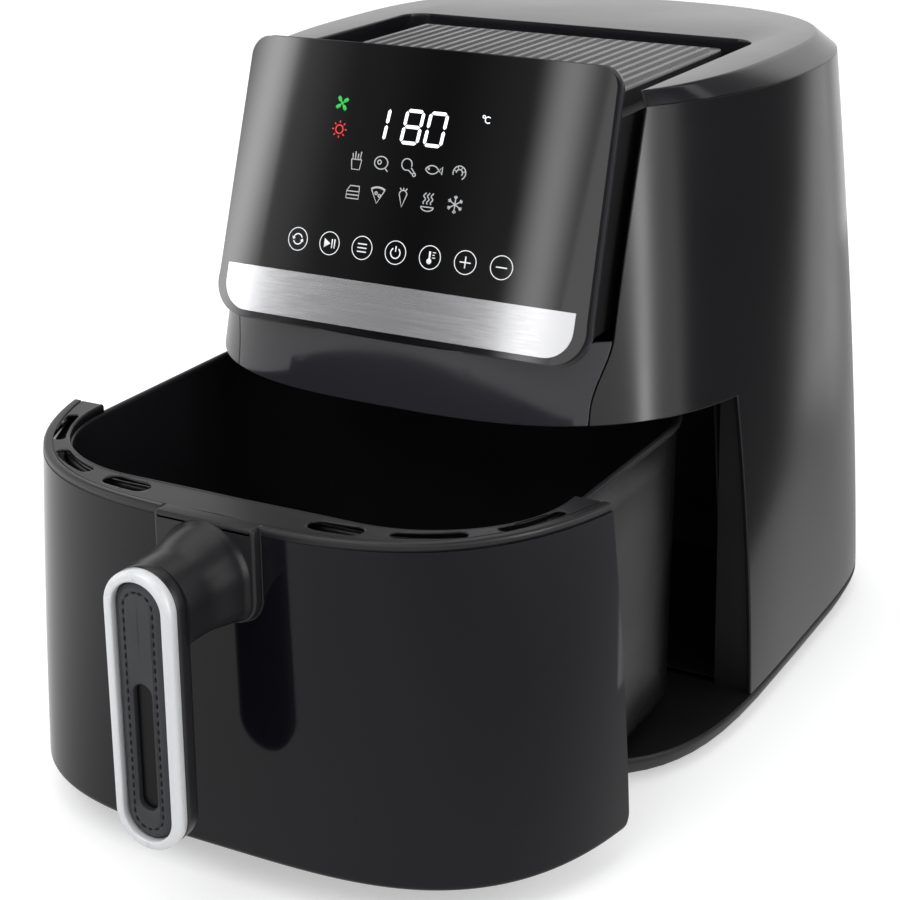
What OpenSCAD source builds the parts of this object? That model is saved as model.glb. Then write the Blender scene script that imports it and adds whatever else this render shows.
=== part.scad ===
// Single-drawer air fryer, shown with its drawer pulled part of the way out.
// Lengths are in millimetres. The front faces -Y and the feet stand on z = 0.

/* [Body] */
// Widest width of the body, at the base seam
body_w = 322; // [306:1:336]
// Width of the body at the shoulder under the top rim
top_w = 290; // [282:1:298]
// Front of the base seam, ahead of the widest line of the body
front_reach = 206; // [203:1:214]
// Front of the shoulder, ahead of the widest line of the body
top_front = 186; // [182:1:192]
// Back of the base seam, behind the widest line of the body
back_reach = 160; // [152:1:170]
// Back of the shoulder, behind the widest line of the body
top_back = 148; // [144:1:152]
// Height of the flat top of the rim
body_h = 343; // [340:1:352]
// Thickness of the moulded outer walls
wall = 2.6; // [2:0.1:3.2]

/* [Base] */
// Height of the rubber feet
foot_h = 4; // [3:0.5:6]
// Radius of a rubber foot
foot_r = 10; // [8:0.5:13]
// Height of the base tray's lip
lip_h = 11; // [10:0.5:13]
// How far the lip draws in towards its lower edge
lip_in = 3.5; // [2:0.5:5]
// Thickness of the base floor
floor_t = 3; // [2.5:0.5:4]

/* [Top] */
// Height of the sloping edge round the top rim
bevel_h = 8; // [6:0.5:10]
// Width of the sloping edge at the sides
bevel_w = 15; // [12:0.5:18]
// Half width of the sunken place in the top
recess_half = 106; // [104:0.5:109]
// Back edge of the sunken place, behind the widest line of the body
recess_back = 18; // [12:1:24]
// Depth of the sunken place
recess_deep = 12; // [11:0.5:14]
// Half width of the ribbed panel
ribbed_half = 91; // [86:0.5:94]
// Spacing of the ribs on the panel
rib_pitch = 7; // [6:0.5:9]
// Height of one rib
rib_h = 1.4; // [1:0.1:1.8]

/* [Control plate] */
// Width of the glossy control plate at its lower edge
plate_w = 207; // [202:1:208]
// Height of the plate along its own slope
plate_h = 141.5; // [138:0.5:144]
// Angle by which the plate leans back
plate_lean = 17.5; // [16:0.25:19]
// Height of the plate's lower edge above the drawer's rim
plate_up = 38; // [36.5:0.5:39.5]
// Radius of the plate's gentle bow
plate_bow = 880; // [700:10:1400]
// Thickness of the plate
plate_t = 5; // [4:0.5:6]
// Thickness of the grey backing frame behind the plate
frame_t = 3; // [2:0.5:4]
// Height of the steel strip across the plate
strip_h = 23; // [20:0.5:26]
// Thickness of the steel strip
strip_t = 0.8; // [0.6:0.1:1.2]

/* [Drawer] */
// Height of the upper housing, from the drawer's rim to the flat top
upper_h = 159; // [157:1:163]
// Gap between the rim and the body above it
mouth_gap = 2; // [1.5:0.5:3]
// How far the drawer stands out of the body
drawer_out = 155; // [145:1:160]
// Front of the closed drawer at its lower edge, ahead of the widest line
drawer_reach = 200; // [198:0.5:201]
// Thickness of the drawer's front panel
front_t = 3; // [2.5:0.25:4]
// Width of the drawer beside the pan, at each side
rim_side = 32.5; // [32:0.5:37]
// Inner length of the pan, front to back
pan_l = 245; // [236:1:245]
// Radius of the pan's corners
pan_r = 67; // [60:1:70]
// Thickness of the pan's walls
pan_t = 1.5; // [1.2:0.1:2]
// Running gap between the pan and its rails
pan_gap = 0.3; // [0.2:0.1:0.6]
// Height of the crisper plate above the pan's floor
crisper_up = 10; // [9:0.5:14]

/* [Handle] */
// Height of the grip
grip_h = 132; // [126:1:140]
// How far the top of the grip lies below the drawer's rim
grip_drop = 5; // [3:0.5:7]
// Width of the grip
grip_w = 34.5; // [33:0.5:38]
// Thickness of the grip behind its ring
grip_t = 11; // [10:0.5:14]
// Depth of the bright ring
ring_t = 6; // [5:0.5:7]
// Width of the bright ring's band
ring_band = 6; // [5:0.25:7]
// Space for the fingers between the grip and the drawer
finger_gap = 34; // [30:1:40]
// Width of the bracket that joins the handle to the drawer
bracket_w = 52; // [50:0.5:58]
// Height of the bracket
bracket_h = 46; // [44:1:50]

/* [Heater and fan] */
// Radius of the outer turn of the heating element
element_r = 84; // [80:1:88]
// Radius of the inner turn of the heating element
element_in_r = 66; // [64:1:70]
// Radius of the heating element's tube
tube_r = 3.5; // [3:0.25:4]
// Radius of the air fan
fan_r = 54; // [48:1:56]
// Radius of the motor shaft
shaft_r = 4; // [3:0.25:5]
// Radius of the motor's case
motor_r = 32; // [28:1:34]

/* [Hidden] */
clear = 0.3;              // running clearance between bodies
sheet = 1.2;              // folded sheet metal
fit = 0.02;               // radial slack of parts pushed on the shaft
sides = 64;               // points round a body outline
levels = 7;               // outlines up the body
screw_r = 1.9;            // shank of the screws
gland_out = 2;            // how far the cord inlet stands out at the back
pan_behind = 23.5;        // from the drawer's lower front edge to the pan
liner_side = 8.8;         // from the pan's wall to the cavity's side
liner_behind = 9;         // from the pan's back to the cavity's back
liner_ahead = 109;        // from the pan's middle to the front of the cavity's roof
heater_room = 41;         // from the mouth to the top of the cavity's roof sheet
rail_h = 3.3;             // height of the drawer's rails
board_t = 1.6;            // circuit boards

seam_z = foot_h + lip_h;
drawer_top = body_h - upper_h;
plate_z = drawer_top + plate_up;
pan_w = body_w - 2 * rim_side;
shoulder_z = body_h - bevel_h;
mouth_z = drawer_top + mouth_gap;
mouth_top_y = -104;       // front edge of the side shells, at the mouth's top
mouth_low_y = -92;        // and at the base seam
core_half = plate_w / 2 - 3;
carrier_front = plate_t + frame_t;
plate_low_r = 17;         // lower corners of the plate
plate_top_r = 10;         // and its upper corners
strip_r = 14;             // lower corners of the strip
strip_up = 3;             // from the plate's lower edge to the strip
glue = 0.05;              // adhesive under the strip

pan_front = -drawer_reach + pan_behind;    // outer front of the closed pan
pan_back = pan_front + pan_l + 2 * pan_t;
pan_mid = (pan_front + pan_back) / 2;
pan_top = drawer_top - 4;
liner_half = pan_w / 2 + pan_t + liner_side;   // outer half width of the cavity
liner_back = pan_back + liner_behind;
liner_front = pan_mid - liner_ahead;
liner_z = seam_z + 2;
liner_cut_x = 85;         // the roof's front corners are cut from here
liner_cut_y = -90;        // to here
roof_z = mouth_z + heater_room;
rail_z = liner_z + sheet + rail_h;
pan_z = rail_z + pan_gap;
pan_floor = pan_z + pan_t;
crisper_z = pan_floor + crisper_up;
bulkhead_y = -120;

grip_y = -handle_root() - finger_gap;      // rear face of the grip
grip_front = grip_y - grip_t - ring_t;
grip_top = drawer_top - grip_drop;
mid_y = -(grip_front - drawer_out + back_reach + gland_out) / 2;

// ---- outlines and shared shapes ----

function sgn(v) = v < 0 ? -1 : 1;
function mix(a, b, t) = a + (b - a) * t;
function rise(z) = min(1.2, max(0, (z - seam_z) / (shoulder_z - seam_z)));
function half_w(z) = body_w / 2 - (body_w - top_w) / 2 * pow(rise(z), 1.9);
function reach_f(z) = front_reach - (front_reach - top_front) * pow(rise(z), 2.5);
function reach_b(z) = back_reach - (back_reach - top_back) * pow(rise(z), 1.5);
function roundness(z) = 0.445 + 0.44 * rise(z);
function handle_root() = drawer_front_at(drawer_top) + 4;

function arc(x, y, r, a0, a1) =
    [for (k = [0 : 12]) let (a = mix(a0, a1, k / 12)) [x + r * cos(a), y + r * sin(a)]];

// An oval with squared shoulders: half width a, front f, back b, and e from 0.4 (square) to 1 (round)
function oval(a, f, b, e) = [
    for (i = [0 : sides - 1])
        let (t = 360 * i / sides, c = cos(t), s = sin(t))
        [a * sgn(c) * pow(abs(c), e), (s < 0 ? f : b) * sgn(s) * pow(abs(s), e)]
];
function body_outline(z, inset) =
    oval(half_w(z) - inset, reach_f(z) - inset, reach_b(z) - inset, roundness(z));
function at_height(points, z) = [for (p = points) [p[0], p[1], z]];

// The closed drawer's outline: the body's own at the top, drawn in a little at the bottom
function drawer_t(z) = (z - seam_z - 1) / (drawer_top - seam_z - 1);
function drawer_front_at(z) = mix(drawer_reach, reach_f(drawer_top), drawer_t(z));
function drawer_outline(z, inset) = oval(
    mix(body_w / 2 - 0.5, half_w(drawer_top), pow(drawer_t(z), 2)) - inset,
    drawer_front_at(z) - inset,
    100,
    mix(0.59, roundness(drawer_top), drawer_t(z)));

// A closed solid through a stack of outlines that all have the same number of points
module loft(rings) {
    n = len(rings[0]);
    m = len(rings);
    polyhedron(
        points = [for (r = rings) each r],
        faces = concat(
            [[for (i = [0 : n - 1]) i]],
            [for (k = [0 : m - 2]) for (i = [0 : n - 1])
                let (j = (i + 1) % n) [k * n + i, (k + 1) * n + i, (k + 1) * n + j, k * n + j]],
            [[for (i = [n - 1 : -1 : 0]) (m - 1) * n + i]]),
        convexity = 6);
}
module body_solid(z0, z1, inset, count = levels) {
    loft([for (k = [0 : count - 1]) let (z = mix(z0, z1, k / (count - 1))) at_height(body_outline(z, inset), z)]);
}
module drawer_solid(z0, z1, inset) {
    loft([for (k = [0 : 4]) let (z = mix(z0, z1, k / 4)) at_height(drawer_outline(z, inset), z)]);
}
module rounded(w, l, r) {
    square([w - 2 * r, l], center = true);
    square([w, l - 2 * r], center = true);
    for (x = [-1, 1], y = [-1, 1])
        translate([x * (w / 2 - r), y * (l / 2 - r)]) circle(r, $fn = 48);
}
module stadium(w, h) {
    square([w, h - w], center = true);
    for (y = [-1, 1]) translate([0, y * (h - w) / 2]) circle(w / 2, $fn = 48);
}
module slab(x, y0, y1, z0, z1) {
    translate([-x, y0, z0]) cube([2 * x, y1 - y0, z1 - z0]);
}
// A straight bar along Y with its outline drawn in X and Z
module along_y(y0, y1) {
    translate([0, y1, 0]) rotate([90, 0, 0]) linear_extrude(y1 - y0) children();
}
module rod_y(x, z, r, y0, y1, n = 32) {
    translate([x, y1, z]) rotate([90, 0, 0]) cylinder(r = r, h = y1 - y0, $fn = n);
}
module post(x, y, r, z0, z1, n = 32) {
    translate([x, y, z0]) cylinder(r = r, h = z1 - z0, $fn = n);
}
// Everything ahead of the slanted line of the mouth, moved back by the given amount
module ahead_of_mouth(back, z0, z1) {
    slope = (mouth_low_y - mouth_top_y) / (mouth_z - seam_z);
    y_at = function (z) mouth_top_y + back + (mouth_z - z) * slope;
    translate([-body_w, 0, 0]) rotate([90, 0, 90]) linear_extrude(2 * body_w)
        polygon([[-600, z0], [y_at(z0), z0], [y_at(z1), z1], [-600, z1]]);
}
// The body stands on its feet with the frame's origin under the middle of everything
module in_body() translate([0, mid_y, 0]) children();
module in_drawer() translate([0, mid_y - drawer_out, 0]) children();
// The plate's own space: x across, z up its slope, y into the body
module on_plate() {
    in_body() translate([0, -plate_front(), plate_z]) rotate([-plate_lean, 0, 0]) children();
}
function plate_front() = reach_f(plate_z) + plate_t - 1.3;

// ---- body ----

foot_x = body_w / 2 - 46;
foot_ys = [-front_reach + 58, back_reach - 50];

module rubber_feet() color("#151515") in_body() {
    for (x = [-1, 1], y = foot_ys) post(x * foot_x, y, foot_r, 0, foot_h, 48);
}

boss_x = liner_half - 24;
boss_ys = [mouth_low_y + 30, liner_back - 30];

module base_tray() color("#1a1a1b") in_body() {
    difference() {
        union() {
            difference() {
                loft([
                    at_height(body_outline(seam_z, lip_in), foot_h),
                    at_height(body_outline(seam_z, lip_in / 3), foot_h + lip_h / 2),
                    at_height(body_outline(seam_z, 0), seam_z)]);
                body_solid(foot_h + floor_t, seam_z + 1, lip_in + wall, 2);
            }
            intersection() {
                body_solid(seam_z - floor_t, seam_z, lip_in + wall / 2, 2);
                ahead_of_mouth(6, 0, seam_z);
            }
            for (x = [-1, 1], y = boss_ys) post(x * boss_x, y, 6, foot_h + floor_t / 2, liner_z);
        }
        for (x = [-1, 1], y = boss_ys) {
            post(x * boss_x, y, screw_r + 0.1, foot_h - 1, liner_z + 1);
            post(x * boss_x, y, 4.2, foot_h - 1, foot_h + 2.5);
        }
        for (k = [-5 : 5])
            translate([k * 14 - 2, back_reach - 86, foot_h - 1]) cube([4, 44, floor_t + 2]);
    }
}

// The opening for the control plate narrows in an S to the fascia's lower edge
fascia_half = plate_w / 2 - 2.5;
gap_half = plate_w / 2 + 3.5;
function ease(t) = let (u = min(1, max(0, t))) u * u * (3 - 2 * u);
function opening_half(z) = mix(fascia_half, gap_half, ease((z - mouth_z - 8) / 34));
module front_window(slack, z0, z1) {
    zs = [for (k = [0 : 10]) mix(z0, mouth_z + 50, k / 10)];
    right = [for (z = zs) [opening_half(z) + slack, z]];
    left = [for (k = [10 : -1 : 0]) [-opening_half(zs[k]) - slack, zs[k]]];
    along_y(-front_reach - 20, 0)
        polygon(concat(right, [[gap_half + slack, z1], [-gap_half - slack, z1]], left));
}

duct_half = 42;
duct_z0 = mouth_z + 12;
duct_z1 = roof_z - 5;
grille_side = 6;
inlet_x = -body_w / 2 + 72;
inlet_z = 46;
inlet_r = 8;

module outer_shell() color("#141415") in_body() {
    difference() {
        body_solid(seam_z, shoulder_z, 0);
        body_solid(seam_z - 1, shoulder_z + 1, wall);
        ahead_of_mouth(0, seam_z - 1, mouth_z);
        front_window(0, mouth_z - 0.01, shoulder_z + 2);
        slab(duct_half + grille_side, 60, back_reach + 20, duct_z0 - grille_side, duct_z1 + grille_side);
        rod_y(inlet_x, inlet_z, inlet_r, 60, back_reach + 20, 48);
    }
}

tray_z = body_h - recess_deep;
recess_front = -reach_f(shoulder_z) - 20;
function top_outline(inset) = oval(top_w / 2 - bevel_w - inset, top_front + 14 - inset, top_back - bevel_w - 1 - inset, 0.75);

module top_rim() color("#1d1d1f") in_body() {
    difference() {
        union() {
            difference() {
                loft([at_height(body_outline(shoulder_z, 0), shoulder_z), at_height(top_outline(0), body_h)]);
                loft([
                    at_height(body_outline(shoulder_z, wall), shoulder_z - 1),
                    at_height(body_outline(shoulder_z, wall), shoulder_z),
                    at_height(top_outline(wall), body_h - wall)]);
            }
            intersection() {
                body_solid(tray_z, shoulder_z + 0.5, wall + clear, 3);
                recess_wall(tray_z, shoulder_z + 0.5);
            }
            intersection() {
                loft([at_height(body_outline(shoulder_z, wall / 2), shoulder_z), at_height(top_outline(wall / 2), body_h)]);
                recess_wall(shoulder_z, body_h);
            }
        }
        slab(recess_half, recess_front, recess_back, tray_z - 1, body_h + 1);
    }
}
module recess_wall(z0, z1) {
    slab(recess_half + wall, -front_reach, recess_back + wall, z0, z1);
}

module top_tray() color("#1d1d1f") {
    in_body() intersection() {
        body_solid(tray_z - wall, tray_z, wall + clear, 2);
        slab(body_w / 2, bulkhead_y, recess_back + 60, tray_z - wall, tray_z);
    }
    intersection() {
        in_body() slab(core_half, -front_reach, bulkhead_y + 1, tray_z - wall, tray_z);
        behind_plate(carrier_front);
    }
    in_body() for (x = [-1, 1]) post(x * (recess_half - 8), recess_back - 8, 3, tray_z - wall - 8, tray_z - wall);
}

ribbed_back = recess_back - 11;
ribbed_z = body_h - 2.4;           // top of the ribs
ribbed_len = 200;
module ribbed_panel() color("#3a3b3d") intersection() {
    in_body() difference() {
        union() {
            ribbed_block(2 * ribbed_half, ribbed_len, tray_z, ribbed_z - rib_h);
            for (k = [-rib_count : rib_count])
                translate([(k - 0.28) * rib_pitch, ribbed_back - ribbed_len, ribbed_z - rib_h - 0.1])
                    cube([rib_pitch * 0.56, ribbed_len - 7, rib_h + 0.1]);
        }
        ribbed_block(2 * (ribbed_half - wall), ribbed_len - 2 * wall, tray_z - 1, ribbed_z - rib_h - wall);
    }
    behind_plate(carrier_front);
}
rib_count = floor(ribbed_half / rib_pitch - 0.6);
module ribbed_block(w, l, z0, z1) {
    translate([0, ribbed_back - ribbed_len / 2, z0]) linear_extrude(z1 - z0) rounded(w, l, 6);
}
// Everything behind the back of the control plate, at the given depth from its face
module behind_plate(depth) {
    on_plate() translate([0, plate_bow, -120]) cylinder(r = plate_bow - depth, h = plate_h + 240, $fn = 200);
}

module front_fascia() color("#0c0c0d") {
    intersection() {
        in_body() union() {
            difference() {
                body_solid(mouth_z + clear, roof_z, 0, 4);
                body_solid(mouth_z - 1, roof_z + 1, wall, 4);
                slab(body_w, -100, back_reach + 1, mouth_z - 1, roof_z + 1);
            }
            intersection() {
                body_solid(roof_z, roof_z + wall, wall / 2, 2);
                slab(body_w, -front_reach, bulkhead_y + wall, roof_z - 1, roof_z + wall);
            }
        }
        in_body() front_window(-clear, mouth_z - 1, mouth_z + 50);
        below_plate(0.4);
    }
}
// Keeps what lies under and behind the control plate's frame
module below_plate(gap) {
    on_plate() translate([-body_w / 2, -60, -121 - gap]) cube([body_w, 300, 120]);
    behind_plate(carrier_front + gap);
}
// The plate narrows a little towards its top; grow widens it all round
module plate_outline(grow) {
    low = plate_w / 2 - plate_low_r;
    top = plate_w / 2 - 2.8 - plate_top_r;
    polygon(concat(
        arc(low, plate_low_r, plate_low_r + grow, -90, 0),
        arc(top, plate_h - plate_top_r, plate_top_r + grow, 0, 90),
        arc(-top, plate_h - plate_top_r, plate_top_r + grow, 90, 180),
        arc(-low, plate_low_r, plate_low_r + grow, 180, 270)));
}
module bowed(r0, r1) {
    translate([0, plate_bow, -20]) rotate([0, 0, -90 - 10]) rotate_extrude(angle = 20, $fn = 200)
        translate([r0, 0]) square([r1 - r0, plate_h + 60]);
}

module control_plate() color("#08080a") on_plate() {
    intersection() {
        bowed(plate_bow - plate_t, plate_bow);
        along_y(-10, 30) plate_outline(0);
    }
}
module plate_frame() color("#5a5c60") on_plate() {
    intersection() {
        bowed(plate_bow - plate_t - frame_t, plate_bow - plate_t);
        along_y(-10, 30) plate_outline(1);
    }
}
module steel_strip() color("#b9bcc0") on_plate() {
    half = plate_w / 2 - 6;
    intersection() {
        bowed(plate_bow + glue, plate_bow + glue + strip_t);
        along_y(-10, 30) polygon(concat(
            arc(half - strip_r, strip_up + strip_r, strip_r, -90, 0),
            [[half, strip_up + strip_h], [-half, strip_up + strip_h]],
            arc(strip_r - half, strip_up + strip_r, strip_r, 180, 270)));
    }
}

module plate_carrier() color("#101012") {
    difference() {
        carrier_block(core_half, carrier_front, bulkhead_y, roof_z + wall, tray_z - wall);
        carrier_block(core_half - wall, carrier_front + wall, bulkhead_y + 1, roof_z + 2 * wall, tray_z - 2 * wall);
    }
    intersection() {
        in_body() slab(ribbed_half - wall - 1, -front_reach, bulkhead_y, tray_z, ribbed_z - rib_h - wall - 0.5);
        difference() {
            behind_plate(carrier_front);
            behind_plate(carrier_front + wall);
        }
    }
}
module carrier_block(half, depth, back, z0, z1) {
    intersection() {
        in_body() slab(half, -front_reach, back, z0, z1);
        behind_plate(depth);
    }
}

module front_bulkhead() color("#101012") in_body() {
    difference() {
        intersection() {
            body_solid(roof_z + wall, tray_z - wall, wall + clear, 3);
            slab(body_w / 2, bulkhead_y, bulkhead_y + wall, roof_z, tray_z);
        }
        slab(30, bulkhead_y - 1, bulkhead_y + wall + 1, roof_z + 16, roof_z + 30);
    }
}

board_y = carrier_front + 14;
board_top = (tray_z - 2 * wall - plate_z) / cos(plate_lean) - 2;
display_z = plate_h * 0.42;
display_half = 46;
button_pitch = 19;
button_r = 6;
button_h = 42;
board_half = 85;
board_low = 34;
// Depth of the carrier's inner face at the given distance from the middle
function carrier_inner(x) = carrier_front + wall + plate_bow - sqrt(plate_bow * plate_bow - x * x) + clear;
module display_module() color("#0a0a0a") on_plate() {
    front = carrier_inner(display_half);
    translate([-display_half, front, display_z]) cube([2 * display_half, board_y - front, board_top - 1 - display_z]);
}
module touch_board() color("#1d4a2c") on_plate() {
    front = carrier_inner(3 * button_pitch + button_r);
    translate([-board_half, board_y, board_low]) cube([2 * board_half, board_t, board_top - board_low]);
    for (k = [-3 : 3]) rod_y(k * button_pitch, button_h, button_r, front, board_y + 0.1);
}

// ---- cavity ----

// The roof's plan: its front corners are cut away to keep inside the body
module roof_plan(inset) {
    half = liner_half - inset;
    polygon([
        [-half, liner_back - inset], [-half, liner_cut_y], [-liner_cut_x, liner_front + inset],
        [liner_cut_x, liner_front + inset], [half, liner_cut_y], [half, liner_back - inset]]);
}
module cavity_liner() color("#2a2b2d") in_body() {
    difference() {
        translate([0, 0, liner_z]) linear_extrude(roof_z - liner_z) roof_plan(0);
        translate([0, 0, liner_z + sheet]) linear_extrude(roof_z - liner_z - 2 * sheet) roof_plan(sheet);
        ahead_of_mouth(7, liner_z - 1, mouth_z + wall);
        slab(duct_half - sheet, liner_back - 5, liner_back + 5, duct_z0 + sheet, duct_z1 - sheet);
        post(0, pan_mid, shaft_r + 4, roof_z - 5, roof_z + 5, 48);
        for (x = [-1, 1]) post(x * lead_x, pan_mid + lead_y, lead_r + 0.3, roof_z - 5, roof_z + 5);
        post(probe_x, probe_y, probe_r + 0.2, roof_z - 5, roof_z + 5);
        rod_y(switch_x, switch_z, 3.2, liner_back - 5, liner_back + 5);
    }
}
module mouth_frame() color("#161617") in_body() {
    difference() {
        intersection() {
            body_solid(seam_z, mouth_z, wall + clear, 5);
            difference() {
                ahead_of_mouth(7, seam_z, mouth_z);
                ahead_of_mouth(4, seam_z - 1, mouth_z + 1);
            }
        }
        slab(liner_half - sheet, -front_reach, 0, seam_z - 1, mouth_z + 1);
    }
}
module mouth_ceiling() color("#161617") in_body() {
    difference() {
        intersection() {
            body_solid(mouth_z, mouth_z + wall, wall + clear, 2);
            slab(body_w / 2, -front_reach, mouth_top_y + 6, mouth_z, mouth_z + wall);
        }
        translate([0, 0, mouth_z - 1]) linear_extrude(wall + 2) roof_plan(sheet);
    }
}
rail_x = pan_w / 2 - 48;
rail_w = 8;
rail_front = -150;
// Two rails stand on the base in front of the mouth and on the cavity's floor behind it
module drawer_rails() color("#2f3033") in_body() {
    mouth = mouth_low_y + 6;
    for (s = [-1, 1]) translate([s * rail_x - rail_w / 2, 0, 0]) {
        translate([0, rail_front, seam_z]) cube([rail_w, mouth - rail_front, rail_z - seam_z]);
        translate([0, mouth - 1, liner_z + sheet])
            cube([rail_w, liner_back - sheet - mouth - 5, rail_z - liner_z - sheet]);
    }
}

guard_z = mouth_z + 4;
guard_r = 102;
guard_in_r = 24;
guard_pitch = 13;
guard_wire = 2;
element_z = mouth_z + 16;
lead_x = 12;              // half the spacing of the element's leads
lead_y = sqrt(element_r * element_r - lead_x * lead_x);
lead_r = tube_r - 0.4;
module heater_guard() color("#8d9094") in_body() translate([0, pan_mid, 0]) {
    for (r = [guard_in_r : guard_pitch : guard_r])
        rotate_extrude($fn = 96) translate([r, guard_z]) square([guard_wire, guard_wire]);
    for (a = [0 : 3]) rotate(45 + 90 * a) {
        translate([guard_in_r + 1, -guard_wire, guard_z]) cube([guard_r - guard_in_r, 2 * guard_wire, guard_wire]);
        post(guard_r + 2, 0, 3, guard_z, roof_z - sheet);
    }
}
module heating_element() color("#9a9489") in_body() translate([0, pan_mid, 0]) {
    gap_out = asin(lead_x / element_r);
    gap_in = asin(lead_x / element_in_r);
    element_turn(element_r, gap_out);
    element_turn(element_in_r, gap_in + 8);
    rod_y(0, element_z, tube_r - 0.7, -element_r, -element_in_r);
    for (x = [-1, 1]) post(x * lead_x, lead_y, lead_r, element_z - 1, roof_z + 9);
}
module element_turn(r, gap) {
    translate([0, 0, element_z]) rotate(90 + gap) rotate_extrude(angle = 360 - 2 * gap, $fn = 96)
        translate([r, 0]) circle(tube_r, $fn = 32);
}
module element_clips() color("#8d9094") in_body() translate([0, pan_mid, 0]) {
    mid_r = (element_r + element_in_r) / 2;
    for (a = [20, 160, 235, 305]) rotate(a) {
        post(mid_r, 0, 2.5, element_z + tube_r + 1, roof_z - sheet);
        translate([element_in_r - 4, -4, element_z + tube_r + 0.2])
            cube([element_r - element_in_r + 8, 8, 1.2]);
    }
}

bracket_up = 20;
bracket_t = 2.5;
bracket_z = roof_z + bracket_up;
leg_at = 36;
leg_r = 4;
motor_h = 38;
motor_z = bracket_z + bracket_t;
module motor_bracket() color("#85888c") in_body() translate([0, pan_mid, 0]) {
    difference() {
        translate([0, 0, bracket_z]) linear_extrude(bracket_t)
            rounded(2 * leg_at + 3.5 * leg_r, 2 * leg_at + 3.5 * leg_r, 1.75 * leg_r);
        post(0, 0, shaft_r + 5, bracket_z - 1, motor_z + 1, 48);
    }
    for (x = [-1, 1], y = [-1, 1]) post(x * leg_at, y * leg_at, leg_r, roof_z, bracket_z);
}
module motor() color("#6f7276") in_body() translate([0, pan_mid, 0]) {
    difference() {
        union() {
            post(0, 0, motor_r, motor_z, motor_z + motor_h, 64);
            translate([-motor_r - 4, -9, motor_z]) cube([2 * motor_r + 8, 18, 4]);
        }
        post(0, 0, shaft_r + 0.06, motor_z - 1, motor_z + motor_h + 1, 48);
    }
}
module insulation_mat() color("#d8d5c8") in_body() {
    difference() {
        translate([0, 0, roof_z]) linear_extrude(6) roof_plan(8);
        post(0, pan_mid, leg_at * 1.42 + 6, roof_z - 1, roof_z + 7, 64);
        for (x = [-1, 1]) post(x * lead_x, pan_mid + lead_y, lead_r + 2, roof_z - 1, roof_z + 7);
        post(probe_x, probe_y, 6, roof_z - 1, roof_z + 7);
        post(-cutout_x, pan_mid, 10, roof_z - 1, roof_z + 7);
        slab(liner_half, -front_reach, bulkhead_y + wall + 1, roof_z - 1, roof_z + 7);
    }
}
power_y = bulkhead_y + wall;
power_half = 75;
power_h = 66;
power_z = roof_z + 14;
stand_off = 5.5;
stud_in = 6.5;
can_r = 7;
module power_board() color("#1d4a2c") in_body() {
    face = power_y + stand_off + board_t;
    translate([-power_half, power_y + stand_off, power_z]) cube([2 * power_half, board_t, power_h]);
    for (x = [-1, 1], z = [stud_in, power_h - stud_in])
        rod_y(x * (power_half - stud_in), power_z + z, 3, power_y, power_y + stand_off + 0.1);
    for (x = [-50, -26, 52]) rod_y(x, power_z + 20, can_r, face - 0.1, face + can_r);
    translate([8, face - 0.1, power_z + 10]) cube([26, can_r, 20]);
}
cutout_x = 82;
module thermal_cutout() color("#b7b3a8") in_body() {
    post(-cutout_x, pan_mid, 8, roof_z, roof_z + 7, 48);
    for (x = [-1, 1]) translate([-cutout_x + x * 4 - 1.5, pan_mid - 0.5, roof_z + 7]) cube([3, 1, 8]);
}
probe_x = -liner_half + 32;
probe_y = liner_back - 34;
probe_r = 2.5;
module temperature_probe() color("#b9bcc0") in_body() {
    post(probe_x, probe_y, probe_r, roof_z - 28, roof_z + 0.5);
    post(probe_x, probe_y, 5, roof_z, roof_z + 4);
}

grille_y = back_reach - 10;
module exhaust_duct() color("#85888c") in_body() {
    end = reach_b(duct_z1) - wall - 2;
    difference() {
        slab(duct_half, liner_back, end, duct_z0, duct_z1);
        slab(duct_half - sheet, liner_back - 1, end + 1, duct_z0 + sheet, duct_z1 - sheet);
    }
}
module rear_grille() color("#101011") in_body() {
    x = duct_half + grille_side - clear;
    z0 = duct_z0 - grille_side + clear;
    z1 = duct_z1 + grille_side - clear;
    intersection() {
        body_solid(z0, z1, 0.4, 3);
        difference() {
            slab(x, reach_b(duct_z1) - wall - 2, back_reach + 5, z0, z1);
            for (k = [0 : 4])
                translate([-duct_half + 2, grille_y, duct_z0 + 1.5 + k * (duct_z1 - duct_z0 - 1) / 5])
                    rotate([-12, 0, 0]) translate([0, -20, 0]) cube([2 * duct_half - 4, 40, 2.4]);
        }
    }
}
module cord_inlet() color("#0e0e0f") in_body() {
    face = back_reach - 4;
    difference() {
        union() {
            rod_y(inlet_x, inlet_z, inlet_r - clear / 2, face - 14, back_reach + gland_out, 48);
            rod_y(inlet_x, inlet_z, inlet_r + 4, face - 14, face - 6, 48);
        }
        rod_y(inlet_x, inlet_z, 3.4, face - 20, back_reach + gland_out + 1);
    }
}

switch_x = pan_w / 2 - 34;
switch_z = 0.62 * mouth_z;
module switch_bracket() color("#85888c") in_body() {
    difference() {
        translate([switch_x - 14, liner_back, switch_z - 10]) cube([28, 2, 20]);
        rod_y(switch_x, switch_z, 3.2, liner_back - 1, liner_back + 3);
    }
}
module drawer_switch() color("#222222") in_body() {
    difference() {
        translate([switch_x - 10, liner_back + 2, switch_z - 8]) cube([20, 16, 16]);
        rod_y(switch_x, switch_z, 2.55, liner_back + 1, liner_back + 15);
    }
    for (x = [-6, 0, 6]) translate([switch_x + x - 1.5, liner_back + 18, switch_z - 0.4]) cube([3, 6, 0.8]);
}
module switch_plunger() color("#c23a2c") in_body() {
    rod_y(switch_x, switch_z, 2.5, pan_back + 0.4, liner_back + 11.5);
}
module housing_screws() color("#9a9da1") in_body() {
    for (x = [-1, 1], y = boss_ys) {
        post(x * boss_x, y, screw_r, foot_h + 2, liner_z - 0.5);
        post(x * boss_x, y, 3.8, foot_h + 0.6, foot_h + 2.5);
    }
}

// ---- fan ----

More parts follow.
